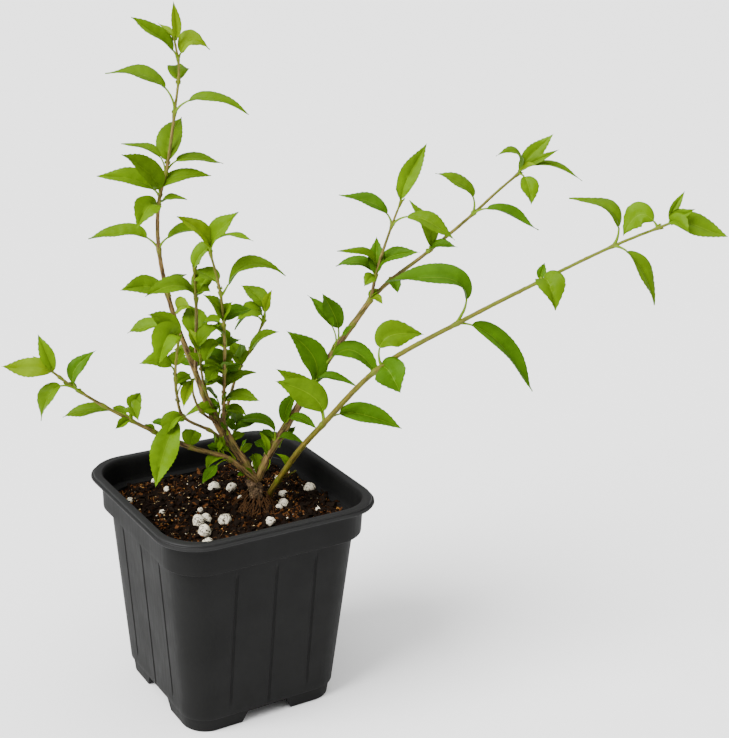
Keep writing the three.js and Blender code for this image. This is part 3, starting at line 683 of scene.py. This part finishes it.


# Tan bark is dry and woody. Olive bark is smoother, with a trace of wax. Each has its colours in
# the furrows, darker with painted shade, on the ridges, lighter with painted light, where it is
# young and at the pores, and its roughness. A stem's green begins and is full at the given shares of its
# length.
tan_bark = bark_finish("thin_tan_bark", "#28190a", "#80663a", "#5c6611", "#978058", 0.72)
olive_bark = bark_finish("smooth_olive_bark", "#34260a", "#6e581b", "#586210", "#7d6c30", 0.6)
green_spans = {"left_bough": (1.5, 2.5), "low_left_stem": (0.2, 1.6), "right_bough": (0.5, 2.6),
               "tall_stem": (0.5, 1.3), "upper_fork": (-0.2, 1.6), "outer_fork": (-0.3, 1.3),
               "long_right_stem": (-0.3, 1.1)}
for piece_name, material, slot_name, chosen, replaced in (
        ("woody_stems", tan_bark, "bark", [name for name in stems if name != "long_right_stem"],
         ["left_bough", "low_left_stem", "right_bough", "tall_stem", "middle_stem", "inner_left_stem",
          "inner_right_stem", "outer_left_stem", "right_bough_upper_fork", "right_bough_outer_fork"]),
        ("olive_stem", olive_bark, "young_bark", ["long_right_stem"], ["long_right_stem"])):
    surface = bark_surface()
    for seed, name in enumerate(chosen):
        foot, tip, nodes, _ = stems[name]
        grow_stem(surface, stem_paths[name], foot, tip, nodes, seed, *green_spans.get(name, (0.1, 1.4)))
    finish_mesh(piece_name, as_mesh(piece_name, surface), [material], replaced, smooth_angle=60)

# The stump itself: a knobbly grey-brown knuckle with flaking bark, cut back on its left bough.
# Its profile gives the radius at each height over the mix.
stump_profile = [(-1.5, 4.2), (3, 4.0), (4.5, 3.4), (6, 3.0), (8, 2.9), (10, 3.1), (11.5, 3.3), (13, 3.2),
                 (14.3, 2.6), (15.2, 1.8), (15.6, 0.8)]
stump_place = (12, 2, 90.6)
stump_lean = 2.2
stump_sides = 48
stump_surface = bark_surface()
stump_grain = stump_surface.verts.layers.float_vector["grain"]
rings = []
for rise in np.arange(-1.5, 15.6, 0.42):
    radius = np.interp(rise, *zip(*stump_profile))
    lean = stump_lean * (max(rise, 0) / 15) ** 2
    rings.append([])
    for j in range(stump_sides):
        angle = 2 * math.pi * j / stump_sides
        around = Vector((math.cos(angle), math.sin(angle), 0))
        knob = noise.noise(around * 1.2 + Vector((0, 0, rise * 0.17))) * 1.5
        furrow = (1 - 2 * abs(noise.noise(around * 3.4 + Vector((0, 0, rise * 0.45 + 5))))) * 0.7 - 0.4
        flake = noise.noise(around * 8 + Vector((0, 0, rise * 1.2))) * 0.55
        buttress = 1.3 * max(0, math.cos(5 * angle + 0.6)) * math.exp(-max(rise - 1.8, 0) / 1.8)
        out = radius + (knob + furrow + flake) * min(1, radius / 4) + buttress
        spot = Vector(stump_place) + Vector((out * around.x - lean, out * around.y, rise))
        rings[-1].append(stump_surface.verts.new(planted(spot)))
        rings[-1][-1][stump_grain] = (4 * around.x, 4 * around.y, rise)
join_rings(stump_surface, rings)
cut_stub = smooth_path([(-1, 5, 124), (-3, 5.6, 128), (-5.5, 6, 134)])
grow_stem(stump_surface, cut_stub, foot=1.6, tip=1.3, nodes=(), seed=40, green_from=2, green_to=3)
# Its furrow colour carries painted shade and its lit colour painted light, as on the stems.
grey_bark = bark_finish("old_grey_brown_bark", "#170d06", "#7d6449", "#4d4a2a", "#6a5440", 0.9)
finish_mesh("stump", as_mesh("stump", stump_surface), [grey_bark], ["stump"], smooth_angle=60)

# Fine surface roots run down from the stump's foot, and bits of fibre lie all over the mix. Their
# skin has dried to a dull mid brown, mottled along each root.
near_fibres = 96
far_fibres = 64
fibre_rings = 18
fibre_corners = (0, 1.26, 2.51, 3.77, 5.03)
fibre_surface = bmesh.new()
rng = random.Random(77)
stump_foot = (plant_turn @ Vector(stump_place)).to_2d()
for number in range(near_fibres + far_fibres):
    near = number < near_fibres
    heading = rng.uniform(0, 2 * math.pi)
    if near:
        start = stump_foot + Vector((math.cos(heading), math.sin(heading))) * 3.4
    else:
        start = Vector((rng.uniform(-42, 42), rng.uniform(-42, 42)))
    bend = rng.uniform(-0.3, 0.3)
    rise = rng.uniform(0, 3.2) if near else 0
    path = []
    for step in range(7 if near else 5):
        heading += bend + rng.uniform(-0.4, 0.4)
        start = start + Vector((math.cos(heading), math.sin(heading))) * rng.uniform(0.9, 1.7)
        lift = 0.3 + rng.uniform(-0.3, 0.5) + rise * (1 - step / 6) ** 1.6
        path.append(plant_turn.inverted() @ Vector((start.x, start.y, soil_height(start.x, start.y) + lift)))
    run = smooth_path(path)
    rings = []
    for i in range(fibre_rings):
        at = i / (fibre_rings - 1)
        point, growth = place_on(run, at)
        side = unit(np.cross(growth, (0, 0, 1)))
        over = np.cross(side, growth)
        thick = (0.24 if near else 0.17) * (1 - 0.6 * at)
        spots = [point + (side * math.cos(a) + over * math.sin(a)) * thick for a in fibre_corners]
        rings.append([fibre_surface.verts.new(planted(spot)) for spot in spots])
    join_rings(fibre_surface, rings)
bmesh.ops.recalc_face_normals(fibre_surface, faces=fibre_surface.faces)
root_skin = mottled_finish("dry_root_skin", "#432d19", 0.85, 0.6, scale=800.0)
finish_mesh("root_fibres", as_mesh("root_fibres", fibre_surface), [root_skin], [], smooth_angle=70)


# ---- Leaves -----------------------------------------------------------------------------------
# Leaves stand in opposite pairs at the nodes: lance-shaped blades with a toothed margin, a
# sunken midrib and quilted veins, on short stalks. Each blade is a thin closed skin whose
# underside is paler. Young leaves at the tips are small, folded and lighter.

# A leaf is (right, away, up) from its node to its tip, its width, and then in hundredths the
# arch of its midrib, how far its face is turned to the front, and its stalk's share of it. A
# last value, where there is one, says how late the arch peaks: under 0.7 near the stalk, over
# it near the tip. Leaves are listed by the place of their node along the stem.
leaves_on = {
    "tall_stem": [
        (0.99, (-0.5, 0, 17, 4.5, 5, 80, 5), (-8, 6, 7, 3.5, 10, 30, 10)),
        (0.95, (-19, -6, 17.5, 9.5, 6, 35, 15), (13.5, 2, 4, 11, 42, 50, 12, 1.2)),
        (0.89, (-1, 14, 7, 10, 15, 30, 10)),
        (0.82, (-30.5, 3, 16.5, 11.5, 25, 30, 26), (33, -4, 2, 8.5, 22, 35, 22)),
        (0.7, (4, 18, 18.5, 13, 10, 30, 6)),
        (0.67, (-20, 6, 13, 6.5, 28, 20, 25), (25, 9, 5.5, 8.5, 22, 35, 25)),
        (0.62, (22.5, 4, 10, 9.5, 22, 40, 12), (-14.5, -12, 21, 13, 12, 60, 12),
         (-27, -4, 9.5, 10.5, 13, 40, 12)),
        (0.59, (13.5, -4, 6, 6.5, 22, 20, 20), (-7, -16, -5, 12, 32, 50, 8)),
        (0.49, (-31, -3, 5, 10.5, 17, 40, 20), (22, 3, 9, 10, 20, 30, 25)),
        (0.37, (-21, -6, 5, 11, 16, 40, 10), (6, 17, 7, 7, 20, 20, 15)),
        (0.31, (7.5, -6, 9, 8.5, 30, 60, 35))],
    "inner_left_stem": [
        (0.99, (8.5, -6, 13.5, 9.5, 10, 60, 5)),
        (0.71, (-20, -14, 5, 11, 25, 35, 10), (7, 12, 13, 11, 10, 30, 10), (7, -6, 6, 6, 20, 40, 20)),
        (0.85, (8, -4, 5, 7.5, 25, 40, 10)),
        (0.31, (-5, 14, 13, 12, 10, 30, 5))],
    "middle_stem": [
        (0.99, (-13, -8, 17, 9.5, 15, 50, 6), (12.3, -4, 19, 11.5, 10, 50, 6),
         (19.5, -16, 10, 5, 20, 10, 25), (-11, 8, 11, 5, 20, 20, 10)),
        (0.77, (28, -4, 11, 10, 32, 30, 16, 1.4)),
        (0.8, (-12, 8, 7, 10, 10, 30, 20)),
        (0.61, (-10, 4, 0, 7, 20, 20, 20), (-8, -8, 17, 8, 12, 50, 10), (4, -4, 13, 8, 10, 50, 10),
         (12, 6, 7, 9, 20, 40, 15)),
        (0.5, (-8, -5, -6, 7.5, 40, 50, 15), (-5, -6, 12, 6, 20, 40, 40)),
        (0.37, (-11, 8, 6, 9, 20, 30, 10), (-2, 12, 6, 9, 15, 30, 10), (5, -6, 6, 5, 20, 20, 10),
         (-7, -4, -4, 7, 30, 50, 20)),
        (0.24, (14, 6, 9, 9, 20, 30, 10), (-6, -5, 9, 6, 20, 50, 30)),
        (0.17, (17, -8, 6.5, 9, 20, 30, 10), (2, -6, 9, 4, 10, 50, 10)),
        (0.1, (11, -6, 4, 6, 25, 30, 20))],
    "inner_right_stem": [
        (0.99, (-11, 8, 15, 9, 30, 40, 25), (4, -3, 17, 5, 5, 80, 30), (-12, -8, 3, 9.5, 40, 40, 12),
         (-14, 8, -7, 8.5, 30, 30, 10)),
        (0.71, (13.5, -6, 12, 7.5, 12, 50, 5, 1.1)),
        (0.53, (-5, 6, 11, 9, 15, 40, 10), (1, -6, 14, 8, 15, 40, 10))],
    "heart_stem": [
        (0.99, (10, -6, 16, 10.5, 12, 50, 10), (-6, 5, 10, 5.5, 10, 50, 10)),
        (0.75, (9, -4, 4, 7.5, 25, 40, 25), (-6, 2, 8, 4, 20, 40, 30)),
        (0.52, (-1, -6, 14, 7, 10, 50, 5), (8, -4, 5, 8, 20, 50, 20)),
        (0.1, (-5, -6, 17, 7, 20, 30, 50), (-9, 4, 6, 7, 20, 30, 20), (-8, -8, 5, 8, 30, 30, 20),
         (10, -4, 4, 5, 30, 30, 35), (-15, -3, 1, 5.5, 35, 30, 20))],
    "heart_side_stem": [
        (0.98, (-7.5, -5, -1, 6.5, 25, 30, 5), (-3, -8, -10, 5.5, 12, 50, 5))],
    "outer_left_stem": [
        (0.99, (-12, -8, 12.5, 9.5, 12, 70, 5), (-7, -14, -8, 12.5, 40, 70, 5),
         (-23, 4, 0, 9.5, 20, 30, 30)),
        (0.74, (-15, -4, 7, 10, 26, 30, 20), (2, 6, 11, 8.5, 10, 40, 35)),
        (0.55, (5, 6, 12, 5, 20, 30, 50)),
        (0.42, (-7, -6, -8, 9, 30, 40, 5), (-10.6, -16, -28, 13, 12, 60, 10))],
    "low_left_stem": [
        (0.15, (-9.8, -6, -4.5, 6, 36, 30, 12, 1.1), (-11, -14, -6.3, 5.5, 10, 40, 40)),
        (0.33, (1.5, 6, 6.5, 9.5, 15, 40, 10), (-12, 2, 0, 3.2, 10, 30, 20)),
        (0.5, (-5, 2, 3, 3.5, 5, 50, 10)),
        (0.61, (3.5, 4, 12, 7, 20, 50, 40), (5, -12, 5, 8, 45, 50, 30), (-10, 8, 3, 5, 10, 20, 30),
         (-6, -8, -1, 4.5, 10, 40, 20), (-32, 6, -2, 9, 14, 30, 32)),
        (0.85, (6.5, 4, 18, 7.5, 34, 50, 15), (-16, -8, -11, 9.5, 42, 50, 25),
         (-9, 6, 2, 3.5, 10, 40, 20)),
        (0.99, (-20.5, -6, 4, 9.5, 3, 70, 3), (-6.5, 3, 16, 6.5, 5, 80, 3), (-10, 6, 5, 4, 5, 50, 5))],
    "right_bough": [
        (0.06, (-7, 5, 3, 5, 20, 40, 10)),
        (0.18, (-26, 10, 5.5, 8.5, 36, 25, 3, 0.32), (-8, 5, 3, 4.5, 30, 40, 20),
         (15, -2, 1, 5.5, 30, 30, 20)),
        (0.28, (15, -10, 4, 6.5, 28, 30, 20), (4, 9, 15, 7, 15, 30, 10)),
        (0.47, (23.5, -5, 5.5, 6.5, 24, 25, 25)),
        (0.5, (-12, 4, 26, 13, 24, 60, 5)),
        (0.585, (28.5, -10, 0, 13, 42, 30, 20, 1.0)),
        (0.68, (-12, 6, 27, 7, 22, 40, 42), (-5, -4, 31, 9.5, 20, 80, 35), (9, -4, 16, 4.5, 8, 40, 66)),
        (0.99, (6, -5, 0, 4, 25, 40, 20), (6, 2, 5, 4, 20, 40, 10))],
    "upper_fork": [
        (0.21, (-18, -6, 13.5, 6.5, 27, 35, 10), (-18.5, 4, 3.5, 8.5, 25, 40, 10),
         (0, 6, 18, 7.5, 10, 50, 10), (20, -4, 14, 8.5, 20, 40, 10), (-5, -8, -2, 6.5, 20, 50, 5)),
        (0.73, (-24.5, 3, 13, 9.5, 16, 40, 16), (28.5, -10, -3, 9.5, 22, 40, 22)),
        (0.99, (10.5, 4, 26, 9, 4, 80, 3), (-2, 6, 8, 4.5, 5, 60, 10))],
    "outer_fork": [
        (0.13, (4, -6, -4, 5.5, 20, 50, 10)),
        (0.37, (-9, 4, 24, 10, 20, 50, 10), (14, -6, 5, 6.5, 15, 40, 10)),
        (0.67, (-18, 4, 18.5, 9.5, 26, 35, 24), (31, -8, -4, 10, 15, 30, 20)),
        (0.99, (-12, -8, 9.5, 7.5, 42, 35, 5), (5.5, -12, -12, 9.5, 15, 50, 20),
         (15.5, 3, 19, 8, 3, 80, 5), (17.5, -5, 13, 4, 5, 60, 10), (30, -2, -2, 6.5, 20, 30, 15),
         (7, -8, 6, 5, 10, 50, 5))],
    "long_right_stem": [
        (0.24, (36, -4, 1.5, 11.5, 16, 50, 22), (-21.5, -2, 21, 14, 22, 95, 15),
         (-22, 6, 24, 10, 15, 90, 15)),
        (0.42, (18, 4, 14, 13.5, 38, 60, 18), (8.5, -12, -7.5, 15, 12, 90, 4)),
        (0.59, (-31, -4, 18.5, 16, 42, 40, 7, 0.4), (34, -6, -27, 13, 13, 40, 12)),
        (0.76, (2, 4, 7, 4, 5, 50, 10), (5.5, -14, -8, 13, 35, 60, 10)),
        (0.9, (-19, 4, 18, 10.5, 34, 35, 16), (17.5, -8, -22, 9.5, 17, 30, 16)),
        (0.98, (-13, 3, -4.5, 11, 50, 75, 6)),
        (1.0, (23, -4, -3.5, 10.5, 6, 60, 3), (5.5, 3, 13, 3.5, 5, 80, 10), (9, -3, 7, 5, 5, 60, 5),
         (6, -10, -1, 7, 20, 70, 3))],
}

# Small leaves that sprout low down: where each starts on the plant, and the leaf itself.
low_leaves = [
    ((11.5, 3, 106.5), (-2, -1, 12, 5, 10, 70, 8)), ((13.5, 4, 108), (-0.5, 0, 14.5, 1.8, 30, 50, 50)),
    ((15, 6, 117), (-3, 3, 10, 3, 35, 60, 10)), ((24.2, 3.2, 109), (-3.9, 0, 9.5, 3.8, 32, 60, 10)),
    ((-4, -4, 119), (-3, 2, 9, 3.5, 10, 50, 30)), ((-4, -4, 119), (-1, -3, 11, 4, 15, 50, 30)),
    ((-5, -5, 119.5), (2, 1, 10, 3.4, 10, 50, 30)), ((-5, -5, 119.5), (-6, 3, 4, 4, 30, 40, 30)),
    ((-3, -4, 118.5), (-7, -2, 7, 3, 20, 40, 50)), ((-3, -4, 118.5), (1, -2, 7, 2.6, 15, 50, 40)),
    ((0, 5, 121), (6, 3, 5, 4.5, 25, 40, 15)), ((4, 4, 115), (5, 6, 5, 4.5, 25, 40, 15)),
    ((-4, 6, 130), (3, 6, 6, 5, 20, 40, 15)), ((-2, 3, 127), (-3, -5, 8, 4, 10, 50, 30)),
    ((-8, 4, 134), (-6, -4, 5, 4, 20, 40, 30)), ((-8, 4, 135), (1, -5, 8, 4, 20, 40, 30)),
    ((8, 0, 104), (-3, -2, 8.5, 2.2, 40, 50, 50)), ((8, 1, 106), (-5, -3, 3, 2.4, 30, 50, 50)),
    ((13.5, 4, 112), (8.5, 7, 14.5, 2.4, 5, 50, 75)), ((21.5, 9, 119), (7.5, 4, 9.5, 3, 5, 50, 60)),
    ((1, 0, 116), (-6, -2, 9, 2.6, 8, 50, 65)), ((-7, -3, 120), (-0.5, -2, 11.5, 3, 5, 50, 60)),
    ((2, 0, 115.5), (-6, -1, 7.5, 2.4, 8, 50, 60)), ((4, 3, 117), (3, -2, 9, 2.8, 8, 50, 50)),
]
usual_crook = 0.7
open_side = np.array((0, -0.95, 0.3))


def leaf_frame(growth, arch_way, facing):
    """The blade's upward and sideways directions where its midrib runs along growth."""
    sky = unit(arch_way - growth * arch_way.dot(growth))
    front = unit(open_side - growth * open_side.dot(growth))
    upper = unit(sky * (1 - facing) + front * facing)
    return upper, np.cross(growth, upper)


class LeafSkin:
    """The mesh that one kind of leaf is gathered in. Its slots are 0 blade, 1 rib, 2 underside."""

    def __init__(self):
        self.points, self.faces, self.slots = [], [], []

    def grid(self, rows, slot, flip=False):
        """Adds a sheet of rows of points, and returns the number of its first point."""
        start = len(self.points)
        across = len(rows[0])
        for row in rows:
            self.points.extend(planted(point) for point in row)
        for i in range(len(rows) - 1):
            for j in range(across - 1):
                a = start + i * across + j
                corners = (a, a + 1, a + across + 1, a + across)
                self.faces.append(corners[::-1] if flip else corners)
                self.slots.append(slot)
        return start


def add_leaf(skin, node, leaf, rng):
    """Builds one leaf from its node: a stalk, then a blade that arches, folds, quilts and is toothed."""
    reach = np.array(leaf[:3], float)
    width = leaf[3] * 0.92
    arch, facing, stalk = [part / 100 for part in leaf[4:7]]
    crook = leaf[7] if len(leaf) > 7 else usual_crook
    peak = crook / (crook + 1)
    length = np.linalg.norm(reach)
    along = reach / length
    sky = unit(np.array((0, 0, 1.0)) - along * along[2])
    sway = np.cross(along, sky) * rng.uniform(-0.05, 0.05) * length
    fold = rng.uniform(0.3, 0.6) if length > 14 else rng.uniform(0.4, 0.8)
    curl = rng.uniform(0.05, 0.28)
    twist = rng.uniform(-0.35, 0.35)
    droop = rng.uniform(0.0, 0.06) * length
    ripple_turn = rng.uniform(0, 6.28)

    def midrib(s):
        bend = arch * length * max(s, 0) ** crook * (1 - s) / (peak ** crook * (1 - peak))
        sag = droop * math.sin(2 * math.pi * s) * 0.4
        return node + reach * s + sky * (bend + sag) + sway * math.sin(math.pi * s)

    # The stalk is a thin green rod that widens where it meets the stem.
    stalk_rows = []
    for i in range(6):
        s = stalk * i / 5
        upper, across = leaf_frame(unit(midrib(s + 0.01) - midrib(s - 0.01)), sky, facing)
        thick = (0.42 + 0.35 * (1 - i / 5) ** 2) * min(1, 0.45 + width / 16)
        stalk_rows.append([midrib(s) + (upper * math.sin(a) + across * math.cos(a)) * thick
                           for a in np.linspace(0, 2 * math.pi, 8)])
    skin.grid(stalk_rows, 1)

    # The blade has four rows to a tooth. A tooth is broadest at its first row, and hooks forward.
    tooth_length = 1.9
    toothed_from = 0.22
    toothed_to = 0.97
    vein_gap = 4.2
    teeth = max(5, int(length * (1 - stalk) / tooth_length))
    veins = max(4, int(length / vein_gap))
    rows = teeth * 4
    stations = (-1, -0.8, -0.52, -0.25, 0, 0.25, 0.52, 0.8, 1)
    count = len(stations)
    top, under, ways = [], [], []
    for i in range(rows + 1):
        u = i / rows
        s = stalk + (1 - stalk) * u
        growth = unit(midrib(min(s + 0.02, 1.02)) - midrib(s - 0.02))
        ways.append(growth)
        upper, across = leaf_frame(growth, sky, facing)
        c, d = math.cos(twist * u), math.sin(twist * u)
        upper, across = upper * c + across * d, across * c - upper * d
        half = width / 2 * max(math.sin(math.pi * min(u ** 0.76, 1)), 0) ** (0.82 + 0.5 * u) + 0.12 * (1 - u)
        tooth = 0.0
        if toothed_from <= u <= toothed_to:
            tooth = 0.55 * (1 - (i % 4) / 4) * min(1, (u - toothed_from) * 5) * min(1, width / 8)
        top.append([])
        under.append([])
        for v in stations:
            edge = abs(v)
            at_edge = edge == 1
            hook = tooth if at_edge else 0.0
            wide = v * (half + hook * 0.6 * min(1, half / 1.5))
            vein = math.sin(math.pi * ((u * veins - edge * 0.9) % 1)) * math.sin(math.pi * min(edge, 0.9))
            quilt = 0.26 * vein * min(1, half / 3)
            ripple = 0.05 * width * math.sin(9 * u + ripple_turn + (1.3 if v > 0 else 0)) * edge ** 2
            height = half * (fold * edge - curl * edge ** 2) + quilt + ripple
            channel = 0.18 * min(1, half / 2) if v == 0 else 0.0
            thick = 0.02 if at_edge else 0.16 + (0.42 * (1 - u) if v == 0 else 0.0)
            point = midrib(s) + across * wide + upper * (height - channel) + growth * hook * 0.5
            top[-1].append(point)
            under[-1].append(point - upper * thick)
    first = skin.grid(top, 0)
    second = skin.grid(under, 2, flip=True)
    for i in range(rows):
        for j, flip in ((0, True), (count - 1, False)):
            a, b = first + i * count + j, first + (i + 1) * count + j
            c, d = second + (i + 1) * count + j, second + i * count + j
            skin.faces.append((a, d, c, b) if flip else (d, c, b, a))
            skin.slots.append(0)

    # The midrib's pale strip lies a hair over the blade's channel and tapers to the tip.
    ribs = []
    for i in range(0, rows + 1, 2):
        left, centre, right = top[i][3:6]
        sideways = unit(right - left + 1e-9)
        normal = unit(np.cross(ways[i], -sideways))
        lift = normal if normal.dot(centre - under[i][4]) > 0 else -normal
        half_rib = (0.17 * (1 - i / rows) ** 0.7 + 0.04) * min(1, width / 9)
        ribs.append([centre + sideways * half_rib * k + lift * over
                     for k, over in ((-1, 0.03), (0, 0.07), (1, 0.03))])
    skin.grid(ribs, 1)


# Each kind's colour on the blade and on its underside, from the youngest to the oldest. A
# stem's age says which kind most of its leaves are, counted from 0; its higher ages are partly
# painted shade, giving darker greens to leaves in the heart and low in the plant.
leaf_kinds = {"young": ("#5e7706", "#587322"), "fresh": ("#4e6c04", "#4f6e22"),
              "grown": ("#486404", "#496425"), "deep": ("#395a06", "#3e5a23")}
kind_order = list(leaf_kinds)
skins = {kind: LeafSkin() for kind in leaf_kinds}
usual_age = 1.4
# The higher ages here are partly painted shade: they darken the greens of the leaves in the plant's heart and
# low down.
age_and_painted_shade_of = {"heart_stem": 2.4, "heart_side_stem": 2.4, "middle_stem": 1.9, "inner_right_stem": 2,
          "inner_left_stem": 2, "right_bough": 3.0, "upper_fork": 2.5, "outer_fork": 2.4,
          "low_left_stem": 2, "long_right_stem": 2.5}
tip_from = 0.93
small_leaf = 14

for seed, (name, nodes) in enumerate(leaves_on.items()):
    rng = random.Random(100 + seed)
    for share, *leaves in nodes:
        node, growth = place_on(stem_paths[name], share)
        for leaf in leaves:
            younger = (1.3 if share > tip_from else 0) + (0.6 if math.hypot(*leaf[:3]) < small_leaf else 0)
            age = age_and_painted_shade_of.get(name, usual_age) - younger + rng.uniform(-0.7, 0.9)
            add_leaf(skins[kind_order[max(0, min(3, round(age)))]], node, leaf, rng)
        # A pair of scaly buds sits in the leaf axils.
        for way in (-1, 1):
            side = unit(np.cross(growth, (0.3, 1, 0.2))) * way
            bud = side * 0.35 + growth * 1.7
            add_leaf(skins["young"], node + side * 0.75 + growth * 0.4, (*bud, 1.1, 5, 50, 2), rng)

rng = random.Random(200)
for start, leaf in low_leaves:
    add_leaf(skins[rng.choice(("fresh", "grown", "deep"))], np.array(start, float), leaf, rng)

# Each spur carries small leaves in pairs, each pair crossed to the one before and smaller.
for seed, name in enumerate(spurs):
    rng = random.Random(400 + seed)
    for pair, share in enumerate(stems[name][2]):
        node, way = place_on(stem_paths[name], share)
        across = unit(np.cross(way, ((0, 0, 1), (1, 0, 0.2))[pair % 2]))
        for side in (-1, 1):
            tip = (across * side * 0.8 + way * 0.7) * rng.uniform(7, 12) * (1 - 0.15 * pair)
            leaf = (*tip, rng.uniform(4.5, 7), 15, 30, 12)
            add_leaf(skins["deep" if pair == 0 else "grown"], node, leaf, rng)


def leaf_finish(name, colour, roughness):
    """A leaf's skin: thin wax over mottled green with fine cells, whose faint shine is green too."""
    material = mottled_finish(name, colour, roughness, 0.5, scale=120.0, fineness=0.6, gloss=0.09,
                              cells=1500.0, relief_share=0.25, relief_depth=0.0001)
    feed(material.node_tree, material.node_tree.nodes["Principled BSDF"], {"Specular Tint": "#d9ffa0"})
    return material


rib_green = leaf_finish("pale_leaf_rib", "#627c18", 0.5)
mass_nodes = [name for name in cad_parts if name.endswith(("_leaves", "_leaf"))]
for kind, (colour, under_colour) in leaf_kinds.items():
    skin = skins[kind]
    mesh = bpy.data.meshes.new(kind + "_leaves")
    mesh.from_pydata(skin.points, [], skin.faces)
    mesh.polygons.foreach_set("material_index", skin.slots)
    blade_green = leaf_finish(kind + "_leaf_green", colour, 0.46)
    underside_green = leaf_finish(kind + "_leaf_underside", under_colour, 0.6)
    finish_mesh(kind + "_leaves", mesh, [blade_green, rib_green, underside_green],
                mass_nodes if kind == "grown" else [], smooth_angle=70)


# ---- Studio -----------------------------------------------------------------------------------
# A seamless white table in a bright white room, with daylight from a large window high on the
# left, and more from a wide diffuser overhead.

table_half = 30
table_mesh = bpy.data.meshes.new("table")
table_mesh.from_pydata([(x * table_half, y * table_half, 0) for x, y in ((-1, -1), (1, -1), (1, 1), (-1, 1))],
                       [], [(0, 1, 2, 3)])
table = add_object("table", table_mesh)
white_table = bpy.data.materials.new("white_table")
white_table.use_nodes = True
feed(white_table.node_tree, white_table.node_tree.nodes["Principled BSDF"],
     {"Base Color": "#fafafa", "Roughness": 0.9})
table_mesh.materials.append(white_table)

# The room lights the plant softly, and the camera sees its wall as bright as the lit table.
room = bpy.data.worlds.new("white_room")
room.use_nodes = True
tree = room.node_tree
room_light = tree.nodes["Background"]
feed(tree, room_light, {"Color": "#ffffff", "Strength": 0.45})
seen_wall = add(tree, "Background", {"Color": "#ffffff", "Strength": 2.7})
ray = add(tree, "LightPath").outputs["Is Camera Ray"]
seen_or_lit = add(tree, "MixShader", {0: ray, 1: room_light, 2: seen_wall})
feed(tree, tree.nodes["World Output"], {"Surface": seen_or_lit})
bpy.context.scene.world = room


def soft_light(name, direction, spread, power):
    """Daylight from one side through a wide diffuser: even over the whole table, with soft shadows."""
    light = add_object(name, bpy.data.lights.new(name, "SUN"))
    light.data.angle = math.radians(spread)
    light.data.energy = power
    light.location = direction
    light.rotation_euler = direction.to_track_quat("Z", "Y").to_euler()


soft_light("left_window", Vector((-1.4, -0.1, 1.3)), spread=38, power=7.5)
soft_light("overhead_diffuser", Vector((0.1, -0.2, 1.7)), spread=80, power=2.8)
